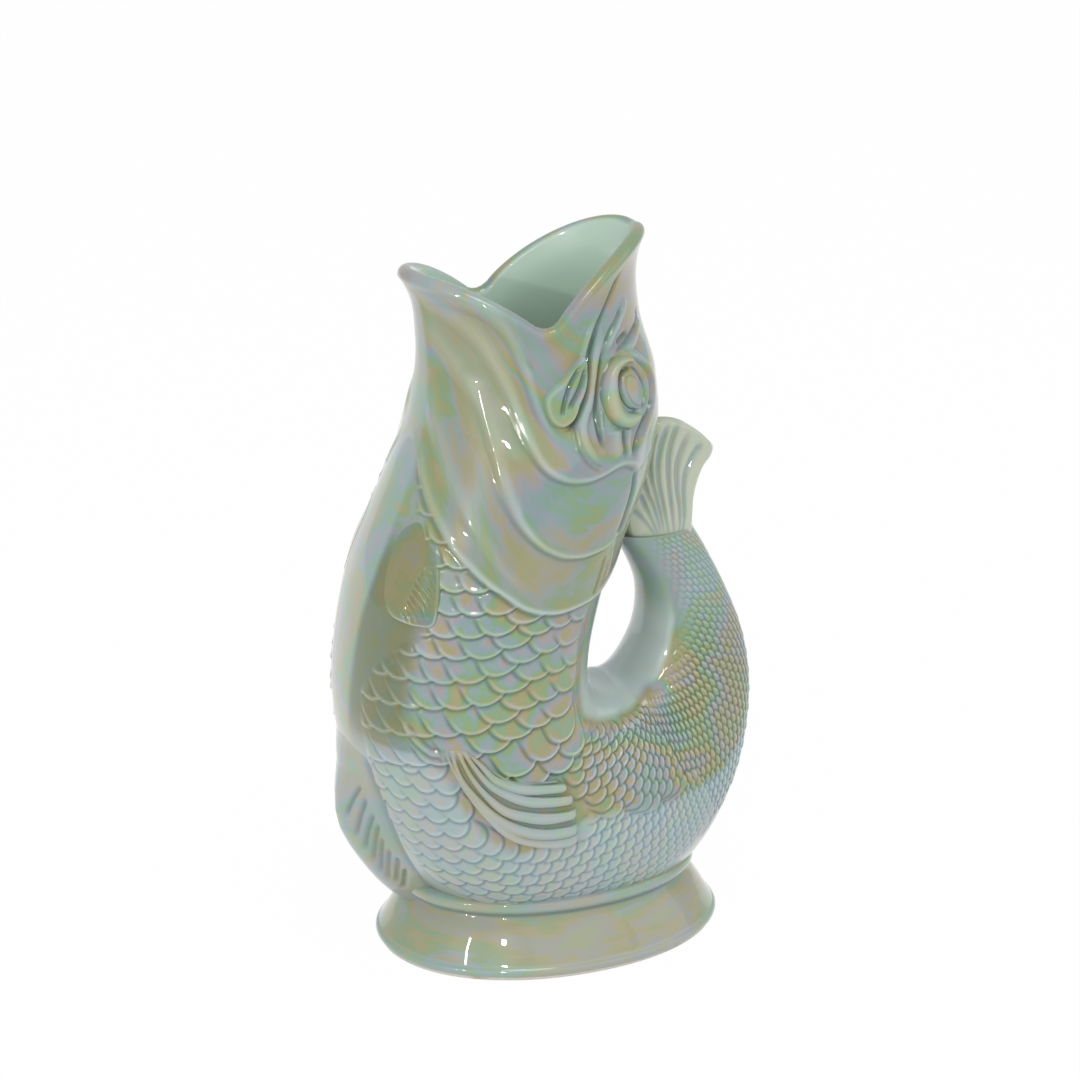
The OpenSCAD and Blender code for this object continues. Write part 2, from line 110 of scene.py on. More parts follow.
def smooth(t):
    """Soft step from 0 to 1."""
    t = np.clip(t, 0, 1)
    return t * t * (3 - 2 * t)


def plateau(x, low, rise, high, fall):
    """1 between two places, with a soft step down to 0 at each of them."""
    return smooth((x - low) / rise) * smooth((high - x) / fall)


def mix(a, b, t):
    return a + (b - a) * t


def bell(distance, width):
    """1 at no distance, down to 0 like a bell curve."""
    return np.exp(-(distance / width) ** 2)


def signed_pow(v, p):
    return np.sign(v) * np.abs(v) ** p


def through(rows, at):
    """Catmull-Rom curve through evenly spaced rows, at any array of places."""
    rows = np.asarray(rows, float)
    top = len(rows) - 1
    at = np.clip(np.asarray(at, float), 0, top)
    i = np.minimum(np.floor(at).astype(int), top - 1)
    t = (at - i)[..., None]
    p1 = rows[i]
    p2 = rows[i + 1]
    p0 = np.where((i > 0)[..., None], rows[np.maximum(i - 1, 0)], 2 * p1 - p2)
    p3 = np.where((i < top - 1)[..., None], rows[np.minimum(i + 2, top)], 2 * p2 - p1)
    return (p1 + (p2 - p0) * t / 2 + (2 * p0 - 5 * p1 + 4 * p2 - p3) * t * t / 2
            + (3 * p1 - p0 - 3 * p2 + p3) * t * t * t / 2)


def skin(s, angle, rise=0.0):
    """Point at a section number and an angle in degrees from the belly, moved out by rise."""
    s, angle, rise = np.broadcast_arrays(*(np.asarray(v, float) for v in (s, angle, rise)))
    q = through(SECTIONS, s)
    inner = np.stack([q[..., 0] * HALF_L, q[..., 1] * JUG_H], -1)
    outer = np.stack([q[..., 2] * HALF_L, q[..., 3] * JUG_H], -1)
    middle = (inner + outer) / 2
    reach = (outer - inner) / 2
    grow = 1 + rise / np.hypot(reach[..., 0], reach[..., 1])
    power = 2 / q[..., 5]
    turn = np.radians(angle)
    along = signed_pow(np.cos(turn), power) * grow
    across = signed_pow(np.sin(turn), power) * (q[..., 4] * HALF_W + rise)
    return np.stack([middle[..., 0] + reach[..., 0] * along, -across,
                     middle[..., 1] + reach[..., 1] * along], -1)


def fold_angle(angle):
    """The same place on the half that the chart covers."""
    a = np.abs(angle) % 360
    return np.where(a > 180, 360 - a, a)


def raw_rim(angle):
    """Height of the rim, with sharp corners, as a share of the jug's."""
    a = fold_angle(angle)
    fall = mix(FRONT_RIM, CORNER_RIM, (a / CORNER_ANGLE) ** RIM_FALL)
    climb = np.sin(np.radians(np.clip(90 * (a - CORNER_ANGLE) / CLIMB_ANGLE, 0, 180)))
    return np.where(a < CORNER_ANGLE, fall, mix(CORNER_RIM, BACK_RIM, climb ** RIM_CLIMB))


def rim_place(angle):
    """Section number of the rim; the mean of some angles rounds the corners of the mouth."""
    share = np.mean([raw_rim(angle + turn) for turn in (-6, -3, 0, 3, 6)], 0)
    return (HEAD_TOP_SHARE - share) / HEAD_STEP_SHARE


def flare(s, angle):
    """How far the lip turns outwards."""
    below = np.maximum((s - rim_place(angle)) * HEAD_STEP_SHARE * JUG_H, 0)
    reach = mix(FRONT_FLARE, BACK_FLARE, (1 - np.cos(np.radians(angle))) / 2)
    return reach * np.exp(-(below / FLARE_DEPTH) ** FLARE_FADE)


# Chart of the relief: rows are places along the fish, columns angles from the belly
STEP_S = 0.025
STEP_A = 0.5
CHART_S = np.arange(0.5, LAST + 0.01, STEP_S)
CHART_A = np.arange(0, 180.25, STEP_A)
S, A = np.meshgrid(CHART_S, CHART_A, indexing="ij")
# Millimetres to a degree round the fish, and to a section along it, each measured over a short reach
REACH_A = 4
REACH_S = 0.2
GIRTH = np.linalg.norm(skin(S, A + REACH_A) - skin(S, A - REACH_A), axis=-1) / (2 * REACH_A) / MM
PITCH = np.linalg.norm(skin(S + REACH_S, A) - skin(S - REACH_S, A), axis=-1) / (2 * REACH_S) / MM
# The layers drawn on it: the relief, in millimetres while it is drawn and then in metres, the glaze pooled
# in the grooves together with painted shade there, painted highlights on crests and rims, and the middles of
# the scales
height = np.zeros_like(S)
pool_and_shade = np.zeros_like(S)
# Painted highlight: lighter glaze on crests, rims and other lit places, standing in for light and reflections
painted_highlight = np.zeros_like(S)
core = np.zeros_like(S)


def curve(pairs, at):
    """Value at a place, between (place, value) pairs."""
    places, values = zip(*pairs)
    return np.interp(at, places, values)


def chart_cell(s, a):
    """Row and column of the chart's cell nearest to a place."""
    row = int(np.clip(round((s - CHART_S[0]) / STEP_S), 0, len(CHART_S) - 1))
    col = int(np.clip(round(a / STEP_A), 0, len(CHART_A) - 1))
    return row, col


def cell_size(s, a):
    """Millimetres to a degree and to a section at a place."""
    cell = chart_cell(s, a)
    return GIRTH[cell], PITCH[cell]


def window(a_low, a_high, s_low, s_high):
    """Slices of the chart between two angles and two sections."""
    r0, c0 = chart_cell(s_low, a_low)
    r1, c1 = chart_cell(s_high, a_high)
    return slice(r0, r1 + 1), slice(c0, c1 + 1)


def sample(chart, s, angle):
    """Value of a chart at any place, between its cells."""
    row = np.clip((np.asarray(s, float) - CHART_S[0]) / STEP_S, 0, len(CHART_S) - 1.001)
    col = np.clip(fold_angle(angle) / STEP_A, 0, len(CHART_A) - 1.001)
    i = row.astype(int)
    j = col.astype(int)
    u = row - i
    v = col - j
    low, high = (chart[k, j] * (1 - v) + chart[k, j + 1] * v for k in (i, i + 1))
    return low * (1 - u) + high * u


def soften(chart, rows, cols):
    """Gaussian blur of a chart, by numbers of cells along and across."""
    for axis, size in ((0, rows), (1, cols)):
        reach = int(3 * size) + 1
        kernel = np.exp(-0.5 * (np.arange(-reach, reach + 1) / size) ** 2)
        kernel /= kernel.sum()
        pad = [(reach, reach) if k == axis else (0, 0) for k in (0, 1)]
        wide = np.pad(chart, pad, mode="edge")
        chart = np.apply_along_axis(lambda line: np.convolve(line, kernel, "valid"), axis, wide)
    return chart


def scale(a0, s0, width, length, tilt, rise, bead, hollow, cut, slant=0.0):
    """Presses one scale, U shaped and tallest at its tip, over what lies there already.

    bead stands along its edge, hollow sinks its middle and cut is the groove round it. slant draws
    its lower edge up towards the back. The lines round a small scale are finer."""
    g, h = cell_size(s0, a0)
    reach = max(width, length) * 1.3
    w = window(a0 - reach / g, a0 + reach / g, s0 - reach / h, s0 + reach / h)
    across = (A[w] - a0) * g
    up = (s0 - S[w]) * h
    turn = math.radians(tilt)
    x = across * math.cos(turn) + up * math.sin(turn)
    y = up * math.cos(turn) - across * math.sin(turn) - slant * x
    r = width / 2
    fine = min(1.0, 0.55 + r / 12)
    inside = r - np.where(y < r, np.hypot(x, r - y), np.abs(x))
    inside = np.minimum(inside, (length - y) * 0.6)
    cover = smooth(inside / (0.6 * fine) + 0.3)
    tip = np.clip(1 - y / length, 0, 1)
    near_tip = np.minimum(1, 2.4 * tip)
    from_edge = inside / fine
    dome = rise * (0.25 + 0.75 * tip) + bead * bell(from_edge - 0.8, 0.5) * near_tip
    dome -= hollow * rise * smooth(inside / (0.7 * r))
    groove = near_tip * bell(from_edge + 0.38, 0.46)
    height[w] = mix(height[w] - cut * groove, dome, cover)
    strength = min(1.0, rise / 0.4)
    # Painted shade: the glaze darkens in the groove round the scale
    dark = near_tip * bell(from_edge + 0.42, 0.5)
    pool_and_shade[w] = np.maximum(pool_and_shade[w] * (1 - cover), 0.9 * strength * dark)
    # Painted highlight along the scale's lower edge
    down = ((r - y) * math.cos(turn) - x * math.sin(turn)) / r
    below = smooth((down - 0.15) / 0.7)
    painted_highlight[w] = mix(painted_highlight[w], strength * below * bell(from_edge - 0.95, 0.42), cover)
    core[w] = mix(core[w], strength * smooth((inside - 0.9) / 2.0), cover)


LINE_STEPS = 8
FAR = 1e3


def line_distance(points, angle, s, g, h):
    """Distance in millimetres from a drawn line, and the share of the way along it."""
    n = len(points) - 1
    path = through(points, np.linspace(0, n, n * LINE_STEPS + 1))
    best = np.full(np.shape(angle), FAR)
    where = np.zeros_like(best)
    n = len(path) - 1
    for k in range(n):
        px = (angle - path[k, 0]) * g
        py = (s - path[k, 1]) * h
        qx = (path[k + 1, 0] - path[k, 0]) * g
        qy = (path[k + 1, 1] - path[k, 1]) * h
        t = np.clip((px * qx + py * qy) / (qx * qx + qy * qy), 0, 1)
        d = np.hypot(px - t * qx, py - t * qy)
        near = d < best
        best = np.where(near, d, best)
        where = np.where(near, (k + t) / n, where)
    return best, where


def tapered(t, taper):
    """1 along a line, down to 0 at both ends."""
    return plateau(t, 0, taper, 1, taper)


def rounded(x):
    """Height of a half circle over its diameter, x from 0 in the middle to 1."""
    return np.sqrt(np.clip(1 - x ** 2, 0, 1))


def stroke(points, width, rise, dark):
    """Draws a rounded ridge (rise above 0) or a groove (below 0) along a line."""
    path = np.array(points)
    g, h = cell_size(path[:, 1].mean(), path[:, 0].mean())
    margin = 3 * width / np.array([g, h])
    a_low, s_low = path.min(0) - margin
    a_high, s_high = path.max(0) + margin
    w = window(a_low, a_high, s_low, s_high)
    d, t = line_distance(points, A[w], S[w], g, h)
    ends = tapered(t, 0.15)
    if rise > 0:
        height[w] += rise * (rounded(d / width) * smooth((1.05 - d / width) / 0.5)) * ends
        # Painted shade at the ridge's foot and a painted highlight on its top
        pool_and_shade[w] = np.maximum(pool_and_shade[w], dark * ends * bell(d - width * 1.1, 0.6))
        painted_highlight[w] = np.maximum(painted_highlight[w], 0.5 * ends * bell(d, width * 0.5))
    else:
        # Painted shade along the groove
        height[w] += rise * ends * bell(d, width)
        pool_and_shade[w] = np.maximum(pool_and_shade[w], dark * ends * bell(d, width))


# Lines on the chart as (section, angle): the side fin's root, the edges of the front band and of
# its paler glaze, and the edge of the smooth skin inside the handle
PELVIC_ROOT = [(11.3, 60), (12, 62), (13, 64), (14, 66.5), (15, 72), (15.6, 78), (16.4, 90)]
BAND = [(1.5, 9), (3, 11), (5, 13), (6, 16), (9, 17.5), (11, 18), (11.6, 20), (13, 21), (15, 23), (16, 30)]
PALE_BAND = [(1.5, 8), (3, 10), (5, 12.5), (6, 15), (8, 14.5), (9, 12.5), (10, 10.5), (11, 8.5), (12, 7)]
INNER = [(12, 128), (13, 134), (15, 141), (17, 146), (20, 146), (21.5, 143), (22.5, 135),
         (23.5, 132), (24.5, 127), (25.2, 121), (26.5, 117), (28, 112)]


def scale_places(first, last, steps, gaps, lows, highs, middle, before, past=0):
    """Places of scales, row by row towards the head, so that each row covers the one below it.

    A row starts some gaps before a middle angle, and every second row half a gap further on.
    It gives each place's angle, section and gap, and the row's edges."""
    s = first
    row = 0
    while s > last:
        gap = curve(gaps, s)
        low = curve(lows, s)
        high = curve(highs, s)
        a = middle + gap * ((row % 2) / 2 - before)
        while a < high + past:
            if a > low:
                yield a, s, gap, low, high
            a += gap
        s -= curve(steps, s)
        row += 1


def tail_scales():
    """Small pillows from the end of the tail down to the haunch."""
    for a, s, gap, low, high in scale_places(
            27.9, 19.2, [(19, 0.21), (22, 0.2), (25, 0.2), (28, 0.21)],
            [(19, 5.6), (21, 6.2), (23, 7.2), (26, 8.2), (28, 9.0)],
            [(19, 58), (20, 55), (21, 45), (22, 36), (24, 30), (28, 24)], INNER, 90, 12):
        fade = curve([(24, 1.0), (26, 0.6), (28, 0.4)], s)
        strong = float(plateau(a, low, 8, high, 22)) * fade
        g, h = cell_size(s, a)
        scale(a, s, gap * g * 1.16, max(0.4 * h, 3.2), curve([(60, 12), (90, 0), (130, -16)], a),
              0.42 * strong + 0.02, 0.05 * strong, -0.9, 0.5 * strong)


def haunch_scales():
    """Slender scales on the upper flank, under the handle."""
    for a, s, gap, low, high in scale_places(
            20.4, 12.6, [(12.6, 0.62), (16, 0.52), (20, 0.34)], [(12.6, 9.5), (16, 8.0), (20, 6.2)],
            [(12.6, 112), (14, 108), (16, 104), (18, 101), (20, 97), (21, 92)], INNER, 140, 8):
        edge = float(smooth((high - a) / 9))
        g, h = cell_size(s, a)
        scale(a, s, gap * g * 1.25, max(1.1 * h, 5.0), -8, 0.75 * edge + 0.03, 0.28 * edge, 0.2, 0.35 * edge)


def belly_scales():
    """Pale cells low on the flank, in front of the side fin and under it."""
    for a, s, gap, low, high in scale_places(
            20.9, 11.45, [(11, 0.40), (14, 0.42), (15, 0.36), (17, 0.30), (20, 0.25)],
            [(11, 10.4), (14, 9.6), (15, 8.6), (16.5, 7.2), (18, 6.0), (20, 4.9), (21, 4.6)],
            [(11, 19), (14, 20), (15, 26), (16, 40), (17, 46), (19, 52), (21, 56)],
            PELVIC_ROOT + [(16.5, 106), (18, 103), (20, 99), (21, 92)], 60, 6, 3):
        # Towards the belly the rows climb, and the scales lean with them
        lean = curve([(11, 1.0), (15, 1.0), (17, 0.25), (20, 0.0)], s)
        here = s + 0.018 * lean * (min(a, 62) - 62)
        if here <= 11.5:
            continue
        g, h = cell_size(here, a)
        rise = curve([(11, 0.75), (14, 0.7), (16, 0.55), (20, 0.42)], s) * float(smooth((a - low) / 7))
        long = max(1.9 * curve([(11, 0.40), (15, 0.38), (20, 0.27)], s) * h, 2.6)
        scale(a, here, gap * g * 1.42, long, 8 + 22 * lean, rise + 0.02, rise * 0.35, 0.2, rise * 0.6,
              0.1 * lean)


def flank_scales():
    """Big overlapping scales of the upper flank, leaning towards the back."""
    for a, s in ((100, 13.4), (113, 13.7), (123, 13.5), (84, 12.75), (95, 12.7), (108, 12.65), (119, 12.35)):
        scale(a, s, 17.0, 18.0, 20, 1.0, 0.4, 0.3, 0.5)
    for k in range(5, -7, -1):
        first = 64.5 - 3.6 * k if k >= 0 else 65.5 + 1.5 * k
        level = 8.95 + (0.40 * k + 0.03 * k * k if k > 0 else 0.49 * k)
        gap = 10.6 if k >= 0 else 10.0
        for j in range(-5, 8):
            a = first + gap * j
            if a < 16 or a > 131:
                continue
            s = level - 0.02 * min(max(a - 84, 0), 21)
            inner = float(smooth((133 - a) / 9))
            size = curve([(6.5, 11.5), (8, 12.5), (9, 14.0), (10.5, 15.0), (12, 17.0)], s)
            size -= 4.0 * float(smooth((a - 104) / 20))
            scale(a, s, size * 1.22, size * 1.15, 36, 1.1 * inner + 0.02, 0.36 * inner, 0.35, 0.6 * inner,
                  -0.1)


tail_scales()
belly_scales()
haunch_scales()
flank_scales()
# The scales are worn smooth beside the front band, round the breast fin and on the handle's side
WORN = [(5, 16), (6, 20), (6.5, 25), (7, 33), (7.5, 43), (8, 49), (8.6, 50), (9.1, 46), (9.5, 34), (9.9, 25),
        (10.4, 19), (11.2, 16), (11.5, 0)]
scaled = np.minimum(smooth((A - curve(BAND, S)) / 5), smooth((A - curve(WORN, S)) / 7 + 0.3))
scaled = scaled * mix(1.0, 0.75, smooth((46 - A) / 10) * (S < 11.3))
scaled = scaled * np.where(S < 13.5, 1 - 0.8 * smooth((A - 122) / 8), 1.0)
scaled = np.where(S < 17, scaled, 1.0)
for chart in (height, pool_and_shade, painted_highlight, core):
    chart *= scaled

# Lower edges of the gill cover, of its two ridges and of two softer folds, as (angle, section)
GILL = [(0, 5.0), (10, 5.3), (15, 5.5), (20, 5.8), (30, 6.3), (40, 6.7), (50, 7.15), (60, 7.5),
        (70, 7.85), (80, 8.15), (88, 8.45), (95, 8.6), (105, 8.7), (120, 8.66), (130, 8.6),
        (140, 8.35), (160, 7.7), (180, 7.3)]
RIDGE_TWO = [(0, 2.9), (18, 3.12), (34, 3.78), (44, 4.25), (50, 4.75), (56, 5.35), (61, 5.75),
             (74, 6.54), (84, 6.98), (90, 7.2), (98, 7.4), (108, 7.48), (118, 7.45), (124, 7.38),
             (130, 7.2), (145, 7.0), (180, 6.8)]
RIDGE_ONE = [(0, 2.0), (6, 2.04), (30, 2.4), (44, 2.83), (53, 3.43), (58, 3.89), (65, 4.63),
             (71, 5.05), (76, 5.36), (82, 5.58), (90, 5.75), (98, 5.78), (105, 5.7), (112, 5.56),
             (118, 5.56), (122, 5.68), (130, 5.9), (145, 5.5), (180, 5.0)]
LOW_FOLD = [(0, 3.8), (6, 4.0), (16, 4.67), (35, 5.8), (55, 6.73), (74, 7.54), (86, 8.03), (100, 8.3),
            (180, 7.0)]
JAW_FOLD = [(0, 1.85), (7, 1.9), (36, 1.95), (52, 2.16), (61, 2.55), (66, 3.07), (69, 3.6), (72, 4.2),
            (76, 4.6), (84, 5.0), (180, 5.0)]


def terrace(edge, rises, softs, beads, darks):
    """A raised sheet that ends at an edge, with a rounded bead and a groove along it."""
    line = curve(edge, CHART_A)
    line = soften(np.stack([line, line]), 1, 5)[0]
    slope = np.gradient(line, CHART_A)[None, :] * PITCH / GIRTH
    d = (line[None, :] - S) * PITCH / np.sqrt(1 + slope ** 2)
    rise, soft, bead, dark = (curve(pairs, CHART_A)[None, :] for pairs in (rises, softs, beads, darks))
    up = smooth(d / soft + 0.4)
    lip = bead * bell(d - soft, 0.9 * soft)
    # dark is painted shade in the groove under the edge; lip is the bead, which also feeds a painted
    # highlight
    return rise * up + lip, up, dark * bell(d + 0.55 * soft, 0.45 + 0.35 * soft), lip


SOFT = [(0, 5.0), (40, 3.6), (62, 2.6), (76, 1.3), (90, 0.9), (180, 1.2)]
# Each fold's edge, then its rise, the height of its bead and the darkness of the painted shade in its groove
# by angle
FOLDS = [
    (RIDGE_ONE, [(0, 0.3), (40, 0.8), (60, 1.0), (76, 1.2), (122, 1.2), (132, 0.3), (180, 0.3)],
     [(0, 0.1), (60, 0.25), (78, 0.4), (120, 0.4), (128, 0)],
     [(0, 0.1), (60, 0.3), (76, 0.7), (122, 0.9), (130, 0)]),
    (RIDGE_TWO, [(0, 0.3), (20, 0.6), (50, 0.9), (76, 1.0), (124, 1.2), (134, 0.4), (180, 0.3)],
     [(0, 0.1), (60, 0.2), (80, 0.45), (124, 0.45), (130, 0)],
     [(0, 0.1), (60, 0.3), (78, 0.7), (124, 0.9), (132, 0)]),
    (LOW_FOLD, [(0, 0.1), (16, 0.5), (70, 0.5), (88, 0.0)],
     [(0, 0), (20, 0.15), (80, 0.1), (88, 0)], [(0, 0), (20, 0.2), (70, 0.2), (86, 0)]),
    (JAW_FOLD, [(0, 0.2), (36, 0.7), (66, 0.8), (76, 0.5), (84, 0.0)],
     [(0, 0.1), (40, 0.25), (76, 0.2), (84, 0)], [(0, 0.15), (50, 0.3), (72, 0.4), (84, 0)]),
]
cover_h = np.zeros_like(S)
cover_pool_and_shade = np.zeros_like(S)
cover_highlight = np.zeros_like(S)
total = 0
for edge, rises, beads, darks in FOLDS:
    step, _, dark, lip = terrace(edge, rises, SOFT, beads, darks)
    cover_h += step
    # Painted shade in each fold's groove, and a painted highlight on its bead
    cover_pool_and_shade = np.maximum(cover_pool_and_shade, dark)
    cover_highlight = np.maximum(cover_highlight, lip * 2)
    total = total + curve(rises, CHART_A)
gill_rise = curve([(0, 0.3), (25, 0.5), (45, 0.9), (60, 1.4), (80, 2.0), (180, 2.0)], CHART_A)[None, :]
gill_step, gill_up, gill_dark, gill_lip = terrace(
    GILL, [(0, 1), (180, 1)], [(0, 3.5), (18, 2.2), (50, 1.4), (80, 1.0), (180, 1.0)],
    [(0, 0), (20, 0.2), (60, 0.3), (90, 0.45), (180, 0.4)], [(0, 0), (18, 0.6), (80, 0.9), (180, 0.9)])
near_lip = smooth((rim_place(CHART_A)[None, :] + 3 - S) / 1.3)
cover_h = gill_rise + cover_h - (gill_rise + total[None, :]) * near_lip
cover_h += gill_lip
beside = mix(0.35, 1.0, smooth((A - curve(BAND, S) + 2) / 7))
height = mix(height, cover_h * beside, gill_up)
# Painted shade in the groove under the gill cover's edge, and a painted highlight on its bead
pool_and_shade = mix(np.maximum(pool_and_shade, gill_dark * smooth((A - 14) / 6)), cover_pool_and_shade * beside, gill_up)
painted_highlight = mix(painted_highlight, np.minimum(cover_highlight + gill_lip * 2, 1) * beside, gill_up)
core = core * (1 - gill_up)
height = soften(height, 0.7, 0.6)

# Lines drawn on the head and over the side fin: (points as angle and section, width, rise, darkness of its
# painted shade)
STROKES = [
    ([(0, 1.75), (20, 1.78), (45, 1.85), (60, 2.05), (65, 2.4), (68, 2.9), (71, 3.25), (77, 3.5)],
     1.6, -0.7, 0.35),
    ([(118, 2.5), (106, 3.2), (101.6, 3.68), (97.5, 4.1), (94, 4.4), (92.6, 4.65), (93.6, 4.94), (97, 5.2),
      (103, 5.42)], 2.7, 1.5, 0.3),
    ([(112, 2.25), (104, 2.75), (99.5, 3.15), (96.8, 3.49), (95.5, 3.8), (93, 4.1), (89, 4.4)],
     1.4, 0.9, 0.0),
    ([(131, 1.3), (125, 1.7), (119.6, 2.08), (110.8, 2.60), (104.4, 3.08), (99.6, 3.57), (97.2, 3.89),
      (94.0, 4.18), (91.2, 4.38), (88.0, 4.60), (84, 4.72)], 0.8, -1.5, 1.0),
    ([(90.6, 4.5), (90.2, 4.68), (91.2, 4.96), (94.8, 5.24), (99, 5.43), (104.5, 5.55)], 0.6, 0.35, 0.7),
    ([(108, 4.7), (108.3, 5.0), (110.5, 5.35)], 3.4, 0.9, 0.2),
    ([(115.6, 4.72), (114.9, 5.03), (116.8, 5.42)], 1.6, 1.2, 0.3),
    ([(114, 3.0), (108.8, 3.37), (103.6, 3.82), (100.8, 4.26), (100.2, 4.53), (100.8, 4.84), (104.2, 5.25)],
     0.85, -1.6, 1.0),
    ([(102.8, 4.3), (101.9, 4.63), (103.0, 5.08)], 0.6, 0.8, 0.4),
    ([(112.6, 4.72), (113.0, 5.0), (115.4, 5.4)], 0.6, -0.8, 0.9),
    ([(127, 3.27), (132.5, 3.36), (137.4, 3.49), (141.8, 3.74), (142.2, 4.09), (138.8, 4.47), (135, 4.73),
      (129, 4.95), (124.2, 5.18), (122.4, 5.45)], 2.3, 1.5, 0.5),
    ([(137, 4.4), (135.2, 4.47), (129.2, 4.66), (124.4, 4.80), (121.4, 4.98), (120.4, 5.21), (120.2, 5.52)],
     0.8, -1.7, 1.0),
    ([(136, 2.15), (131, 2.42), (125.5, 2.64), (119.6, 2.86), (113.5, 3.16)], 1.7, 1.1, 0.3),
    ([(131, 2.3), (125.2, 2.56), (118.8, 2.78), (113, 3.04)], 0.9, -1.0, 0.8),
    ([(134, 2.9), (128, 2.97), (122.8, 3.08)], 1.3, -1.3, 1.0),
    ([(151, 2.4), (148, 2.74), (139.3, 2.91), (132.8, 3.03), (126.4, 3.14), (118.8, 3.24)], 0.7, -1.0, 0.9),
    ([(151, 2.65), (146, 2.89), (138, 3.08), (128.5, 3.22)], 1.6, 0.9, 0.2),
    ([(125, 5.75), (127.5, 6.2), (128.5, 6.8), (127, 7.25)], 0.9, -0.9, 0.9),
    ([(127.5, 5.8), (130, 6.3), (131, 6.9), (129.5, 7.35)], 1.4, 0.8, 0.0),
    ([(125, 7.6), (126, 8.1), (125, 8.55)], 0.9, -0.6, 0.7),
    ([(129, 7.5), (132, 7.7), (134, 8.0), (134, 8.3)], 1.3, 0.35, 0.4),
    ([(44, 10.8), (46.6, 10.96), (50.9, 11.21), (56.8, 11.46), (61.1, 11.52), (64, 11.75)], 1.5, 0.8, 0.8),
]
for line in STROKES:
    stroke(*line)

# Broad swells and hollows of the cast: angle, section, how far each reaches, and its rise
SWELLS = [(38, 7.9, 12, 0.85, 1.5), (180, 11.5, 38, 2.4, -1.0), (180, 24, 26, 1.8, -0.7),
          (180, 17, 26, 2.0, 1.0), (180, 2.9, 24, 0.9, 1.2)]
for a0, s0, wide_a, wide_s, rise in SWELLS:
    height += rise * np.exp(-((A - a0) / wide_a) ** 2 - ((S - s0) / wide_s) ** 2)

height *= MM
pool_and_shade = np.clip(pool_and_shade, 0, 1)
painted_highlight = np.clip(painted_highlight, 0, 1)
core = np.clip(core, 0, 1)
# Paler glaze: the low flank and the tail's outside, the front band and the end of the tail; the inside of the
# handle is paler glaze brightened with painted light, and the gill cover's bead carries a painted highlight
LOW_EDGE = [(11.2, 8), (11.5, 50), (12, 61), (13, 63), (14, 66), (15, 72), (16, 98), (17, 102), (18, 100),
            (19, 97), (20, 92), (21, 80), (22, 62), (23, 47), (24, 40), (26, 34), (28, 30)]
LOW_TOP = [(0, 11.2), (25, 10.9), (46, 10.75), (56, 11.15), (64, 11.4)]
low_flank = smooth((curve(LOW_EDGE, S) - A) / 6 + 0.5) * smooth((S - curve(LOW_TOP, A)) / 0.8)
band = curve([(5, 0.6), (8, 0.5), (11, 0.25)], S) * smooth((curve(PALE_BAND, S) - A) / 5 + 0.5)
band = band * plateau(S, 1.6, 0.5, 12.5, 0.6)
inner_pale_and_lit = smooth((A - curve(INNER, S) - 2) / 8) * plateau(S, 9, 3, 26.5, 2)
gill_bead_highlight = smooth(gill_lip * 2.2) * smooth((A - 40) / 20) * (S < NECK)
pale = np.maximum.reduce([low_flank, band, 0.9 * inner_pale_and_lit, 0.55 * smooth((S - 24.5) / 2), gill_bead_highlight])
# Painted light: the inside of the handle also gets the painted highlight layer
painted_highlight = np.maximum(painted_highlight, 1.25 * inner_pale_and_lit)

# Warmer, ochre glaze: the breast, the head's side, the gill cover and the tail's side
breast = plateau(A, curve(PALE_BAND, S) - 2, 5, 52, 12) * plateau(S, 6.6, 1.2, 12.0, 1.3)
head_side = plateau(A, 12, 8, 76, 18) * plateau(S, 1.9, 0.6, 8.6, 0.8)
gill_side = 0.75 * smooth((A - 50) / 12) * smooth((S - 6.2) / 0.8) * gill_up
tail_side = plateau(A, 40, 20, 120, 20) * plateau(S, 19.5, 2, 26.5, 2)
warm = np.maximum(np.maximum.reduce([breast, 0.7 * head_side, gill_side, 0.5 * tail_side]), 0.25)
# Painted shade darkens the breast; the gill cover is a little darker too
pool_and_shade = np.maximum.reduce([pool_and_shade, 0.78 * breast, 0.14 * gill_up])
on_gill = (gill_up > 0.5).astype(float)


def place(name, points, faces, corners, layers=None, normals=None):
    """Makes the mesh object. corners gives the bake map place of every face corner."""
    mesh = bpy.data.meshes.new(name)
    mesh.from_pydata(points.tolist(), [], faces)
    mesh.update()
    a, b, c = (points[[f[k] for f in faces]] for k in range(3))
    # A volume below zero means that the faces look inwards
    if np.einsum("ij,ij->i", a, np.cross(b, c)).sum() < 0:
        mesh.flip_normals()
        corners = [[f[0]] + f[:0:-1] for f in corners]
    mesh.polygons.foreach_set("use_smooth", [True] * len(mesh.polygons))
    flat = np.array([spot for f in corners for spot in f], np.float32)
    mesh.uv_layers.new(name="OFBake").data.foreach_set("uv", flat.ravel())
    layers = {"glaze_at": points, **(layers or {})}
    for key, values in layers.items():
        values = np.asarray(values, np.float32)
        kind, field = ("FLOAT_VECTOR", "vector") if values.ndim > 1 else ("FLOAT", "value")
        mesh.attributes.new(key, kind, "POINT").data.foreach_set(field, values.ravel())
    obj = bpy.data.objects.new(name, mesh)
    bpy.context.scene.collection.objects.link(obj)
    if normals is not None:
        own = np.zeros(len(points) * 3)
        mesh.vertices.foreach_get("normal", own)
        if (own.reshape(-1, 3) * normals).sum() < 0:
            normals = -normals
        mesh.normals_split_custom_set_from_vertices(normals.tolist())
    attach(obj, "root")
    return obj


def grid_normals(grid):
    """Normals of a grid whose columns close round, from the differences of its neighbours."""
    n = np.cross(np.gradient(grid, axis=0), np.roll(grid, -1, 1) - np.roll(grid, 1, 1))
    return n / np.maximum(np.linalg.norm(n, axis=-1, keepdims=True), 1e-12)


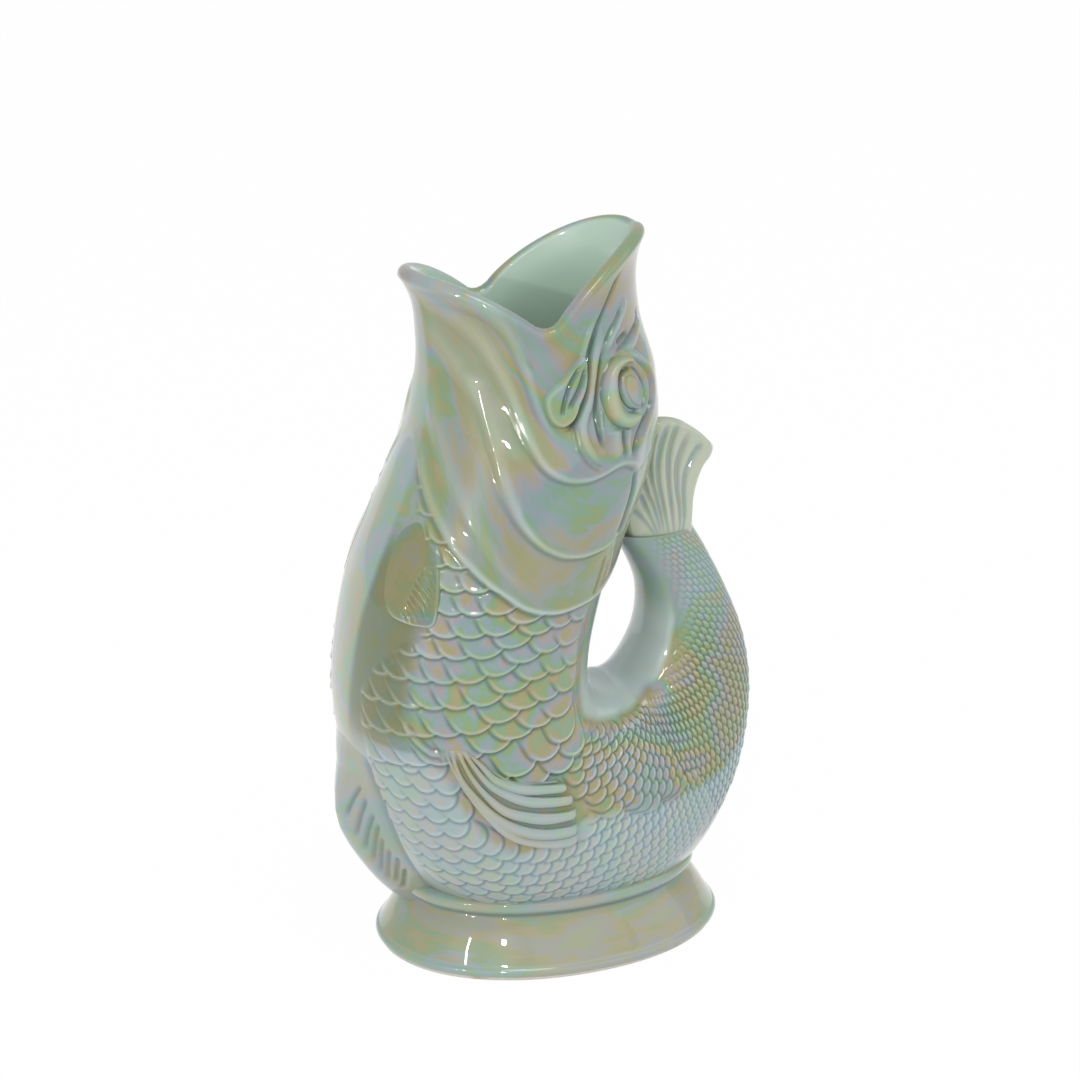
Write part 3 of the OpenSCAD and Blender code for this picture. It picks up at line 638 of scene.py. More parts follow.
def ring_faces(rows, cols, wrap_rows, first=0):
    """Quads of a grid stored row by row, and the bake map place of each corner."""
    faces = []
    corners = []
    for i in range(rows if wrap_rows else rows - 1):
        low = first + i * cols
        high = first + (i + 1) % rows * cols
        v0 = i / rows
        v1 = (i + 1) / rows
        for j in range(cols):
            m = (j + 1) % cols
            faces.append([low + j, low + m, high + m, high + j])
            u0 = j / cols
            u1 = (j + 1) / cols
            corners.append([(u0, v0), (u1, v0), (u1, v1), (u0, v1)])
    return faces, corners


def ring_piece(name, grid, layers=None, normals=None):
    """A closed shell: every column of the grid is a closed profile, and the columns close too."""
    rows, cols = grid.shape[:2]
    faces, corners = ring_faces(rows, cols, True)
    flat = {k: v.reshape(rows * cols, -1).squeeze() for k, v in (layers or {}).items()}
    n = None if normals is None else normals.reshape(-1, 3)
    return place(name, grid.reshape(-1, 3), faces, corners, flat, n)


def capped_piece(name, grid, layers, first=None, last=None, normals=None):
    """Stacked rings, closed at both ends on a point: by default the middle of the end ring."""
    rows, cols = grid.shape[:2]
    faces, corners = ring_faces(rows, cols, False, 1)
    end = rows * cols + 1
    for j in range(cols):
        m = (j + 1) % cols
        u0 = j / cols
        u1 = (j + 1) / cols
        faces.append([0, 1 + m, 1 + j])
        corners.append([((u0 + u1) / 2, 0), (u1, 0), (u0, 0)])
        faces.append([end, 1 + (rows - 1) * cols + j, 1 + (rows - 1) * cols + m])
        corners.append([((u0 + u1) / 2, 1), (u0, 1 - 1 / rows), (u1, 1 - 1 / rows)])
    first = grid[0].mean(0) if first is None else first
    last = grid[-1].mean(0) if last is None else last
    points = np.concatenate([[first], grid.reshape(-1, 3), [last]])
    flat = {}
    for key, values in layers.items():
        values = values.reshape(rows * cols, -1)
        flat[key] = np.concatenate([values[:1], values, values[-1:]]).squeeze()
    if normals is not None:
        normals = np.concatenate([[normals[0].mean(0)], normals.reshape(-1, 3), [normals[-1].mean(0)]])
    return place(name, points, faces, corners, flat, normals)


def spread_columns(count):
    """Angles round the fish, closer together where the relief is fine."""
    fine = np.linspace(0, 360, 3601)
    fold = fold_angle(fine)
    density = 0.5 + 0.5 * plateau(fold, 4, 12, 158, 12)
    total = np.concatenate([[0], np.cumsum((density[1:] + density[:-1]) / 2)])
    return np.interp(np.arange(count) * total[-1] / count, total, fine)


COLUMNS = 540
angles = spread_columns(COLUMNS)

# Size of the glaze's flowing pattern on the head, to one section and to one degree
HEAD_SECTION = 16.5 * MM
FLOW_TURN = 0.36 * MM


def layers_at(points, s, inside):
    """Glaze layers of a shell; inside marks the plain glaze within the jug."""
    keep = 1 - inside
    charts = {"pool_and_shade": pool_and_shade, "painted_highlight": painted_highlight, "core": core, "pale": pale, "warm": warm}
    layers = {name: sample(chart, s, angles) * keep for name, chart in charts.items()}
    layers["inside"] = inside + 0 * s
    # On the head the glaze runs along the folds, so its pattern is laid out along them
    fold = fold_angle(angles) + 0 * s
    below_ridge = (s - curve(RIDGE_TWO, fold)) * HEAD_SECTION
    flow = np.stack([below_ridge, fold * FLOW_TURN, points[..., 1] * 0.5], -1)
    on_head = (sample(on_gill, s, angles) > 0.5) & (s < NECK)
    layers["glaze_at"] = np.where(on_head[..., None], flow, points)
    return layers


# How far the body's cut edge reaches down into the foot's top
FOOT_LAP = 0.3 * MM


def outer_wall(start, end, count, after):
    """Outside of the body or the tail: its places, points and normals.

    A row before it, and some after it, let the normals run on over the joints."""
    s = mix(start, end, (np.arange(-1, count + after) / count)[:, None]) + 0 * angles
    points = skin(s, angles, sample(height, s, angles))
    points[..., 2] = np.maximum(points[..., 2], FOOT_H - FOOT_LAP)
    kept = slice(1, count + 2)
    return s[kept], points[kept], grid_normals(points)[kept]


def inner_wall(start, end, count):
    """Inside of the body or the tail, from its end back to its start."""
    s = mix(start, end, np.linspace(1, 0, count + 1)[:, None]) + 0 * angles
    return s, skin(s, angles, -WALL)


# Head: up the outside from the neck, over the rolled lip, down the inside
HEAD_ROWS = 236
LIP_STEPS = 14
HEAD_INNER = 26
top = rim_place(angles)
share = (np.arange(-1, HEAD_ROWS) / HEAD_ROWS)[:, None]
s_out = mix(NECK, top, share)
lip_blend = smooth((s_out - top) / 0.35)
turned_out = flare(s_out, angles)
outer = skin(s_out, angles, sample(height, s_out, angles) * lip_blend + turned_out)
lip_out = skin(top, angles, flare(top, angles))
lip_in = skin(top, angles, flare(top, angles) - mix(WALL, LIP, flare(top, angles) / FRONT_FLARE))
centre = (lip_out + lip_in) / 2
arm = (lip_out - lip_in) / 2
radius = np.linalg.norm(arm, axis=-1)[:, None]
UP = np.array([0, 0, 1.0])
turns = np.linspace(0, math.pi, LIP_STEPS + 1)
bead = np.stack([centre + arm * math.cos(t) + radius * math.sin(t) * UP for t in turns])
s_in = mix(NECK, top, np.linspace(1, 0, HEAD_INNER + 1)[1:, None])
turned_out = flare(s_in, angles)
inner = skin(s_in, angles, turned_out - mix(WALL, LIP, turned_out / FRONT_FLARE))
grid = np.concatenate([outer, bead, inner])
normals = grid_normals(grid)[1:]
grid = grid[1:]
s_all = np.concatenate([s_out[1:], np.repeat(top[None, :], LIP_STEPS + 1, 0), s_in])
# The plain glaze starts past the top of the lip
rows_out = HEAD_ROWS + LIP_STEPS // 2 + 2
inside = smooth((np.arange(len(s_all)) - rows_out) / 4.0)[:, None]
head = ring_piece("head", grid, layers_at(grid, s_all, inside), normals)
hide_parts("head_shell")

# Body: from the joint with the tail up to the neck, cut level where it stands on the foot
BODY_ROWS = 300
BODY_INNER = 24
s_out, outer, normal_out = outer_wall(ROOT, NECK, BODY_ROWS, 2)
s_in, inner = inner_wall(ROOT, NECK, BODY_INNER)
inner[..., 2] = np.maximum(inner[..., 2], FOOT_H + WALL)
grid = np.concatenate([outer, inner])
normals = np.concatenate([normal_out, grid_normals(inner)])
inside = np.repeat([0.0, 1.0], [len(outer), len(inner)])[:, None]
body = ring_piece("body", grid, layers_at(grid, np.concatenate([s_out, s_in]), inside), normals)
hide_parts("body_shell")

# Tail: the air chamber's inside first, then the outside up to the end under the fan
TAIL_ROWS = 230
TAIL_INNER = 20
s_in, inner = inner_wall(ROOT, CHAMBER, TAIL_INNER)
s_out, outer, normal_out = outer_wall(ROOT, LAST, TAIL_ROWS, 1)
grid = np.concatenate([inner, outer])
normals = np.concatenate([grid_normals(inner), normal_out])
inside = np.repeat([1.0, 0.0], [len(inner), len(outer)])[:, None]
chamber_end, tail_end = ((skin(s, 0) + skin(s, 180)) / 2 for s in (CHAMBER, LAST))
layers = layers_at(grid, np.concatenate([s_in, s_out]), inside)
tail = capped_piece("tail", grid, layers, chamber_end, tail_end, normals)
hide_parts("tail_handle")


# The relief blurred, for the sprigs that lie over it
soft_height = soften(height, 8, 6)


def ring_loop(loop, count):
    """Evenly numbered points of a closed curve through a loop of places."""
    return through(loop[-1:] + loop + loop[:2], np.linspace(1, 1 + len(loop), count, endpoint=False))


def along_lines(lines, field, narrow, wide, taper):
    """How near each place is to any of some drawn lines, from 0 to 1; the lines widen as they run."""
    near = 0
    for points in lines:
        d, t = line_distance(points, *field)
        near = np.maximum(near, tapered(t, taper) * bell(d, mix(narrow, wide, t)))
    return near


def mark(rise, dark, points, field, width, depth, shade, taper=0.12):
    """Adds a ridge (depth above 0) or a groove along a line to a patch's rise and darkness."""
    # The darkness added here is painted shade along the line
    spot = along_lines([points], field, width, width, taper)
    return rise + depth * spot, np.maximum(dark, shade * spot)


# How far a sprig's edge and the middle of its back reach under the skin, and the size of its
# innermost ring as a share of its loop
SKIRT = 1.6 * MM
PATCH_DEPTH = 1.5 * MM
LAST_RING = 0.012


def patch(name, node, loop, centre, side, lift, warmth, rings, count, follow=None):
    """Pressed relief: rings from a loop on the skin in to a centre, all as (angle, section).

    follow tells where it leaves the smoothed skin (1) and where it stays on the relief (0)."""
    g, h = cell_size(centre[1], centre[0])
    rim = ring_loop(loop, count)[None]
    r = np.linspace(1, LAST_RING, rings)[:, None]
    a = centre[0] + (rim[..., 0] - centre[0]) * r
    s = centre[1] + (rim[..., 1] - centre[1]) * r
    edge = (1 - r) * np.hypot((rim[..., 0] - centre[0]) * g, (rim[..., 1] - centre[1]) * h)
    # dark is painted shade in grooves and round the sprig's edge, highlight a painted highlight on its raised
    # parts
    rise, dark, highlight = lift(edge, (a, s, g, h))
    base = sample(soft_height, s, a)
    if follow is not None:
        base = mix(sample(height, s, a), base, follow(a, s))
    rows = skin(s, side * a, base + rise * MM)
    skirt = skin(s[0], side * a[0], base[0] - SKIRT)[None]
    zero = np.zeros((1, count))
    tint = np.maximum(warmth, sample(warm, s, a))
    layers = {"pool_and_shade": np.concatenate([zero, np.clip(dark, 0, 1)]), "painted_highlight": np.concatenate([zero, highlight]),
              "warm": np.concatenate([tint[:1], tint])}
    normals = grid_normals(rows)
    normals = np.concatenate([normals[:1], normals])
    back = skin(centre[1], side * centre[0], -PATCH_DEPTH)
    obj = capped_piece(name, np.concatenate([skirt, rows]), layers, back, normals=normals)
    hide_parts(node)


# Eyes: a thick lid round the front and below, a thin one behind, the iris and its pupil, with painted shade
# in their grooves and a painted highlight on the lid
EYE_CENTRE = (119, 3.98)
EYE_LOOP = [(126, 3.17), (119, 3.25), (113, 3.40), (108, 3.62), (104.6, 3.90), (103.6, 4.25), (105.4, 4.54),
            (111, 4.75), (117, 4.80), (123, 4.68), (128.5, 4.46), (132.5, 4.26), (134.6, 4.0), (134.4, 3.75),
            (132, 3.5), (129.5, 3.28)]
EYE_LID = [(125, 3.38), (121, 3.37), (116, 3.43), (111.6, 3.6), (108.8, 3.84), (107.9, 4.12), (108.6, 4.38),
           (111.5, 4.54), (115.5, 4.57), (119.5, 4.52)]
EYE_GROOVE = [(127, 3.55), (121, 3.57), (116.8, 3.67), (113.8, 3.87), (113.3, 4.08), (114.4, 4.28),
              (117.4, 4.40), (121.5, 4.42)]
EYE_BACK_LID = [(124, 3.34), (127.8, 3.48), (130.6, 3.68), (131.4, 3.96), (129.6, 4.22), (125, 4.44),
                (120, 4.62)]
EYE_BACK_GROOVE = [(124.6, 3.52), (127.6, 3.66), (128.8, 3.86), (128.4, 4.06), (126.2, 4.26), (122.5, 4.42)]


def eye_lift(edge, field):
    a, s = field[:2]
    rise = -0.9 + 2.1 * smooth(edge / 1.6)
    dark = 0.8 * smooth(1 - edge / 0.8)
    d, t = line_distance(EYE_LID, *field)
    width = curve([(0, 1.0), (0.2, 2.0), (0.45, 3.3), (0.78, 3.1), (0.92, 2.3), (1, 1.0)], t)
    rise = rise + 2.1 * rounded(d / width)
    highlight = 0.5 * bell(d, 0.5 * width)
    rise, dark = mark(rise, dark, EYE_BACK_LID, field, 1.0, 1.2, 0)
    iris = np.hypot((a - 121.2) / 6.6, (s - 4.0) / 0.4)
    rise = rise + 1.1 * rounded(iris)
    rise, dark = mark(rise, dark, EYE_GROOVE, field, 0.65, -1.3, 1.0)
    rise, dark = mark(rise, dark, EYE_BACK_GROOVE, field, 0.5, -0.8, 0.8)
    pupil = np.hypot((a - 121.0) / 4.5, (s - 4.0) / 0.32)
    ring = bell(pupil - 1, 0.1)
    rise = rise - 0.25 * ring - 0.15 * smooth((1 - pupil) / 0.4)
    dark = np.maximum(dark, 0.4 * ring)
    return rise, dark, highlight * (1 - dark)


# Pods under the eyes: a thick rim round a leaf with two grooves, with painted shade in the grooves and round
# the edge and a painted highlight on the rim
POD_CENTRE = (87.5, 4.02)
POD_LOOP = [(98.6, 3.08), (92.5, 3.30), (85.6, 3.52), (79.6, 3.70), (75.8, 3.90), (75.2, 4.12), (76.4, 4.36),
            (79.0, 4.56), (83.4, 4.66), (88.0, 4.58), (91.6, 4.41), (94.6, 4.16), (97.0, 3.91), (99.2, 3.60),
            (100.6, 3.28), (100.6, 3.08)]
POD_GROOVES = [[(97.0, 3.24), (93.5, 3.42), (90.2, 3.60), (87.5, 3.80), (85.5, 4.02), (84.2, 4.24),
                (84.0, 4.38)],
               [(98.8, 3.30), (96.5, 3.50), (94.0, 3.70), (91.2, 3.90), (88.6, 4.08), (86.4, 4.28)]]


def pod_lift(edge, field):
    rise = -0.9 + 3.7 * smooth(edge / 2.6)
    dark = 0.95 * smooth(1 - edge / 0.9)
    highlight = 0.5 * bell(edge - 2.2, 0.9)
    for groove in POD_GROOVES:
        rise, dark = mark(rise, dark, groove, field, 0.8, -1.3, 0.8, 0.2)
    return rise, dark, highlight * (1 - dark)


# Breast fins: a smooth swelling that steps down at the back and below, with fine ribs; the whole fin is
# darkened with painted shade, most at the step and in the ribs, and the lower step has a painted highlight
BREAST_CENTRE = (38, 7.9)
BREAST_LOOP = [(30, 6.72), (37.6, 7.05), (44.4, 7.30), (49.4, 7.62), (52.3, 8.01), (53.6, 8.41), (53.0, 8.80),
               (45.6, 8.86), (37.6, 8.82), (31, 8.74), (25.5, 8.42), (22, 7.92), (20.5, 7.4), (22.0, 6.95)]
BREAST_RIBS = [[(41.2, 7.54), (45.6, 7.68), (49.6, 7.83)], [(39.6, 7.66), (44.8, 7.81), (50.2, 8.03)],
               [(38.8, 7.75), (44.8, 7.97), (50.8, 8.22)], [(38.0, 7.87), (44.8, 8.12), (50.4, 8.41)],
               [(38.0, 8.01), (44.0, 8.26), (49.6, 8.57)], [(37.6, 8.14), (43.6, 8.41), (48.2, 8.67)],
               [(37.2, 8.27), (42.4, 8.53), (46.4, 8.74)], [(36.8, 8.41), (41.0, 8.63), (43.8, 8.76)],
               [(36.0, 8.53), (39.0, 8.67), (41.0, 8.76)]]


def breast_step(a, s):
    """Where the breast fin ends in a step: at the back and below, not in front and above."""
    back = smooth((a - 40) / 12) * smooth((s - 7.1) / 0.7)
    below = smooth((a - 27) / 12) * smooth((s - 8.35) / 0.3)
    return np.maximum(back, below)


def breast_lift(edge, field):
    a, s = field[:2]
    step = breast_step(a, s)
    rise = mix(0.08, -0.9 + 2.0 * smooth(edge / 1.2), step)
    dark = np.maximum(0.8 * step * smooth(1 - edge / 0.9), 0.5)
    below = smooth((s - 8.3) / 0.3)
    highlight = mix(0.25, 0.9, below) * step * bell(edge - 1.2, 0.6)
    rib = along_lines(BREAST_RIBS, field, 0.6, 0.75, 0.3)
    return rise - 0.6 * rib, np.maximum(dark, 0.55 * rib), highlight


SIDES = ((1, "left"), (-1, "right"))
for side, tag in SIDES:
    patch("eye_lid_" + tag, "eye_" + tag, EYE_LOOP, EYE_CENTRE, side, eye_lift, 0.35, 64, 180)
    patch("cheek_pod_" + tag, "cheek_" + tag, POD_LOOP, POD_CENTRE, side, pod_lift, 0.1, 50, 160)
    patch("breast_fin_" + tag, "pectoral_fin_" + tag, BREAST_LOOP, BREAST_CENTRE, side, breast_lift, 0.1,
          60, 220, breast_step)


# Side fins: pillows that follow the skin between two edges, with bold ribs from root to tip. Their
# undersides lie some millimetres under the smoothed skin
FIN_SINK = 1.2
PELVIC_LEFT = [(62, 11.35), (65, 12.0), (67.3, 12.75), (70, 13.5), (73, 14.3), (79.5, 15.15), (88, 16.25)]
PELVIC_RIGHT = [(71.5, 11.45), (77, 11.8), (82, 12.25), (87, 12.75), (92.5, 13.1), (98, 13.4), (103, 13.75)]
PELVIC_RIBS = [
    [(62.0, 11.30), (65.8, 11.98), (68.3, 12.55), (70.6, 13.2), (73.0, 13.8), (76.0, 14.5), (81.0, 15.1),
     (89.5, 16.0)],
    [(65.8, 11.35), (67.5, 12.12), (70.0, 12.72), (73.2, 13.42), (78.0, 14.15), (84.5, 14.86), (93.0, 15.75)],
    [(68.4, 11.35), (72.1, 12.20), (75.5, 12.93), (79.2, 13.55), (85.3, 14.15), (91.4, 14.74), (97.6, 15.3)],
    [(71.0, 11.45), (75.1, 12.07), (78.5, 12.62), (84.1, 13.22), (90.3, 13.83), (95.0, 14.23), (100.4, 14.7)],
    [(73.4, 11.50), (77.7, 12.01), (80.8, 12.46), (85.9, 12.92), (92.0, 13.37), (97.0, 13.72), (101.8, 14.1)],
    [(75.3, 11.56), (79.9, 11.92), (84.1, 12.33), (89.8, 12.78), (96.7, 13.13), (102.6, 13.55)]]


def doubled(sheet):
    """A layer of the upper sheet, carried on to the lower one."""
    return np.concatenate([sheet, sheet[:, ::-1]], 1)


def two_sheets(name, top_sheet, low_sheet, shape, layers):
    """A fin between an upper and a lower sheet; a layer may be one value for the whole fin."""
    layers = {key: doubled(value if np.ndim(value) > 2 else value + np.zeros(shape))
              for key, value in layers.items()}
    return capped_piece(name, np.concatenate([top_sheet, low_sheet[:, ::-1]], 1), layers)


def strip(rows, columns, left, right):
    """Shares along and across a strip, and its places between two edges of drawn points."""
    v = np.linspace(0, 1, rows)[:, None]
    u = np.linspace(0, 1, columns)[None, :]
    way = v * (len(left) - 1)
    return v, u, mix(through(left, way), through(right, way), u[..., None])


def ramps(t, start, end):
    """Straight rises from 0 over the first share of t and down again over its last."""
    return np.clip(t / start, 0, 1) * np.clip((1 - t) / end, 0, 1)


def side_fin(tag, side):
    v, u, spot = strip(150, 170, PELVIC_LEFT, PELVIC_RIGHT)
    a = spot[..., 0] + 7 * 4 * u * (1 - u) * v ** 3
    s = spot[..., 1]
    rim = ramps(u, 0.05, 0.05) * np.clip(v / 0.1, 0, 1) * np.clip((1 - v) / 0.045, 0, 1)
    rim = np.sqrt(1 - (1 - rim) ** 2)
    rib = 0
    for points in PELVIC_RIBS:
        d, t = line_distance(points, a, s, *cell_size(14, 84))
        rib = np.maximum(rib, rounded(d / mix(1.0, 2.4, smooth(t * 1.4))))
    ribbed = smooth(v / 0.12)
    deepest_shade = mix(1.5, 4.4, v ** 1.2) * mix(0.85, 1.0, np.sin(math.pi * u))
    lift = deepest_shade * rim - mix(0.9, 1.8, v) * (1 - rib) * ribbed * rim - 0.9 * smooth(1 - v / 0.1)
    base = sample(soft_height, s, a)
    fade = smooth((v - 0.1) / 0.5)
    deep = smooth((0.75 - rib) / 0.6) * ribbed
    top_sheet, low_sheet = (skin(s, side * a, base + rise * MM) for rise in (lift, -FIN_SINK))
    # Painted shade between the ribs and a painted highlight on their tops
    obj = two_sheets("side_fin_" + tag, top_sheet, low_sheet, s.shape, {
        "pool_and_shade": deep * 0.6, "painted_highlight": rib ** 6 * 0.35 * ribbed, "pale": 0.6 * fade * (1 - deep),
        "warm": 0.9 - 0.3 * fade})
    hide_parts("pelvic_fin_" + tag)


for side, tag in SIDES:
    side_fin(tag, side)


# Fin in the middle plane at the front: a ribbed keel that spreads over the belly
KEEL_DEPTH = 2.0 * MM
# Height of the keel, and half its width in degrees, by section
KEEL = [(11.4, 0.0), (11.8, 1.0), (12.24, 3.4), (12.66, 7.6), (13.04, 10.6), (13.38, 11.8), (13.76, 11.7),
        (14.14, 11.3), (14.56, 10.7), (14.99, 9.8), (15.39, 8.6), (15.7, 6.5)]
KEEL_HALF = [(11.4, 19), (12.0, 22), (12.7, 25), (13.5, 23), (14.4, 19), (15.0, 16), (15.7, 15)]
KEEL_TOP = 11.4
KEEL_END = 15.7
KEEL_REACH = 27
keel_s = np.linspace(KEEL_TOP, KEEL_END, 200)[:, None]
keel_a = np.linspace(-KEEL_REACH, KEEL_REACH, 131)[None, :]
spread = np.clip(1 - np.abs(keel_a) / curve(KEEL_HALF, keel_s), 0, 1)
started = smooth((keel_s - KEEL_TOP) / 0.7)
# Short furrows run down and outwards from the root, and stop short of the plain margin
KEEL_LINES = [[(14.5, 12.40), (8.7, 12.77), (4.6, 13.12)], [(16.0, 12.62), (10.4, 13.11), (5.6, 13.55)],
              [(17.0, 12.98), (11.1, 13.43), (5.4, 13.90)], [(17.2, 13.22), (11.0, 13.72), (4.8, 14.22)],
              [(15.6, 13.55), (9.6, 14.05), (4.5, 14.46)], [(15.0, 13.88), (9.1, 14.30), (4.2, 14.66)],
              [(15.3, 14.14), (10.3, 14.47), (5.4, 14.78)], [(13.9, 14.46), (9.5, 14.71), (5.6, 14.94)]]
keel_field = (np.abs(keel_a) + 0 * keel_s, keel_s + 0 * keel_a, *cell_size(13.5, 10))
furrow = along_lines(KEEL_LINES, keel_field, 0.9, 0.9, 0.22)
# Painted shade in the hollow between the keel and the belly's scales, and in the furrows
valley_shade = smooth((0.32 - spread) / 0.3) * started
lift = curve(KEEL, keel_s) * smooth(spread) ** 0.9 * spread ** 0.35
lift = lift + 0.7 * started * smooth(spread / 0.12) - 0.95 * furrow
lift = lift - 1.2 * mix(1.0, (spread <= 0).astype(float), started)
top_sheet = skin(keel_s, keel_a, sample(soft_height, keel_s, keel_a) + lift * MM)
low_sheet = skin(keel_s, keel_a, -KEEL_DEPTH)
ventral = two_sheets("front_fin", top_sheet, low_sheet, lift.shape, {
    "pool_and_shade": np.maximum(furrow * 0.6, 0.45 * valley_shade), "pale": 0.6 * (1 - 0.5 * furrow), "warm": 0.3})
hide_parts("ventral_fin")

# Fin under the tail: small ribbed blade down to the foot, pointed above, and its lowest height
FIN_FLOOR = 14 * MM
KEEL_BACK_TOP = 19.9
KEEL_BACK_END = 21.75
KEEL_BACK_REACH = 17
KEEL_BACK = [(19.9, 0.0), (20.3, 1.4), (20.7, 2.6), (20.95, 3.2), (21.15, 3.0), (21.35, 2.0), (21.6, 0.4),
             (21.75, 0.0)]
KEEL_BACK_HALF = [(19.9, 2), (20.3, 7), (20.8, 11), (21.3, 14), (21.75, 15)]
back_s = np.linspace(KEEL_BACK_TOP, KEEL_BACK_END, 200)[:, None]
back_a = np.linspace(-KEEL_BACK_REACH, KEEL_BACK_REACH, 121)[None, :]
spread = np.clip(1 - np.abs(back_a) / curve(KEEL_BACK_HALF, back_s), 0, 1)
wave = 0.5 + 0.5 * np.cos(2 * math.pi * (back_s - 0.012 * np.abs(back_a)) / 0.2)
furrow = wave ** 3 * smooth(spread / 0.3) * smooth((0.95 - spread) / 0.25)
lift = curve(KEEL_BACK, back_s) * spread ** 1.2 + 0.5 * smooth(spread / 0.15) - 0.5 * furrow
lift = lift - 1.2 * (spread <= 0)
top_sheet, low_sheet = (skin(back_s, back_a, rise) for rise in (lift * MM, -KEEL_DEPTH))
for sheet in (top_sheet, low_sheet):
    sheet[..., 2] = np.maximum(sheet[..., 2], FIN_FLOOR)
# Painted shade in the furrows
anal = two_sheets("rear_fin", top_sheet, low_sheet, lift.shape, {"pool_and_shade": furrow * 0.7, "pale": 0.8})
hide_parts("anal_fin")

# Tail fan: a pleated blade that stands on the end of the tail and leans on the head. In millimetres,
# how far its top edge bulges, half its thickness at the root and at the top, and the furrows' depth
FAN_BULGE = 5.2
FAN_ROOT = 10.0
FAN_TOP = 4.8
FAN_FURROW = 1.1
FAN_LEFT = np.array([(33.0, 151.0), (29.5, 162.0), (29.6, 172.0), (33.4, 182.5), (37.4, 192.5),
                     (40.6, 199.8)]) * MM
FAN_RIGHT = np.array([(58.0, 150.0), (58.6, 162.0), (59.8, 171.0), (63.2, 179.5), (67.0, 184.0),
                      (68.2, 188.0)]) * MM
# Furrows between the pleats, in millimetres along and up: they fan out from the narrow root
FAN_LINES = [[(51.5, 155), (53.4, 163), (53.9, 176), (57.5, 183), (62.6, 188)],
             [(50.5, 155), (51.4, 165), (50.6, 174), (51.3, 182), (57.0, 192)],
             [(48.5, 155), (47.9, 166), (47.1, 178), (48.2, 187), (52.4, 196)],
             [(46.5, 155), (44.5, 167), (42.9, 178), (44.2, 187), (48.0, 197)],
             [(44.5, 156), (42.4, 168), (40.0, 179), (40.6, 189), (43.0, 195)],
             [(43.0, 157), (40.6, 167), (37.8, 174), (36.2, 182)],
             [(42.0, 157), (38.4, 165), (34.6, 174)], [(41.0, 157), (35.4, 164), (31.4, 168)]]
v, u, blade = strip(110, 150, FAN_LEFT, FAN_RIGHT)
furrow = along_lines(FAN_LINES, (blade[..., 0] / MM, blade[..., 1] / MM, 1, 1), 0.6, 1.25, 0.12)
blade[..., 1] += FAN_BULGE * MM * v ** 2 * 4 * u * (1 - u)
half = mix(FAN_ROOT, FAN_TOP, smooth(v / 0.85)) * mix(0.62, 1.0, np.sin(math.pi * u) ** 0.6)
rim = ramps(u, 0.07, 0.07) * np.clip((1 - v) / 0.06, 0, 1)
rim = 0.35 + 0.65 * np.sqrt(1 - (1 - rim) ** 2)
half = (half * rim - FAN_FURROW * furrow * smooth((v - 0.05) / 0.3)) * MM
near, far = (np.stack([blade[..., 0], y, blade[..., 1]], -1) for y in (-half, half))
# The glaze streaks along the pleats, so its pattern is laid out along the blade
streaks = np.stack([u * 0.16 + 0 * half, v * 0.03 + 0 * half, 0.03 + 0 * half], -1)
# Painted shade in the furrows; the pleats get the painted highlight layer, painted light that brightens the
# fan where the head shades it
fan = two_sheets("tail_fan", near, far, half.shape, {
    "pool_and_shade": furrow * 0.22, "pale": 0.15 + 0.35 * furrow, "warm": 0.9 - 0.75 * furrow,
    "painted_highlight": 1.15 - 0.75 * furrow, "glaze_at": streaks})
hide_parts("tail_fin")

# Foot: coved oval pedestal with a rolled rim and a bead under the body
# Its profile is heights and offsets from an oval, in millimetres: first the outside, then the inside
FOOT_HALF_L = 57.5
FOOT_HALF_W = 40.5
FOOT_ROUNDNESS = 2.1
OUTER_ROWS = [(1.5, 10.6), (2.0, 11.3), (3.2, 11.5), (4.2, 11.0), (4.9, 10.2), (6.2, 9.3), (9.0, 7.6),
              (12.5, 5.5), (16.5, 2.8), (19.5, 0.4), (21.2, -0.7), (22.2, -0.5), (23.0, 0.9),
              (24.2, 1.9), (25.8, 2.1), (27.3, 1.4), (28.4, -0.6), (28.6, -3.0)]
INNER_ROWS = [(26.0, -5.0), (16.0, -2.5), (9.0, 0.8), (1.5, 3.2)]
RING_ROWS = [(0.35, 10.2), (0.0, 9.8), (0.0, 3.9), (0.35, 3.5), (1.5, 3.2), (1.5, 10.6)]
FINE_ROWS = 103
FOOT_COLS = 360
foot_turn = np.radians(np.arange(FOOT_COLS) * 360 / FOOT_COLS)[None, :]


def foot_grid(rows):
    """Points of the foot for rows of (height, offset)."""
    rows = np.array(rows, float)[:, None, :]
    power = 2 / FOOT_ROUNDNESS
    x = (FOOT_HALF_L + rows[..., 1]) * signed_pow(np.cos(foot_turn), power)
    y = (FOOT_HALF_W + rows[..., 1]) * signed_pow(np.sin(foot_turn), power)
    z = rows[..., 0] + 0 * x
    return np.stack([x, y, z], -1) * MM


fine = through(OUTER_ROWS, np.linspace(0, len(OUTER_ROWS) - 1, FINE_ROWS))
fine[0] = OUTER_ROWS[0]
rows = np.concatenate([fine, INNER_ROWS])
grid = foot_grid(rows)
zero = np.zeros(grid.shape[:2])
level = rows[:, 0][:, None] + zero
outward = (np.arange(len(rows)) < FINE_ROWS)[:, None] + zero
cove = plateau(level, 5, 1.2, 21.5, 2) * outward
# Painted shade in the crease under the body's bead; the paler glaze outside the cove is, on the rolled rim, a
# painted reflection of the bright floor
foot = ring_piece("foot_base", grid, {
    "pool_and_shade": bell(level - 21.6, 0.7) * 0.8 * outward, "pale": mix(0.55, 0.2, cove) * outward,
    "warm": mix(0.5, 0.95, cove), "inside": 1 - outward, "glaze_at": grid * (0.45, 0.45, 2.4)})
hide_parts("foot")

ring = ring_piece("foot_rim_bare", foot_grid(RING_ROWS))
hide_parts("foot_ring")


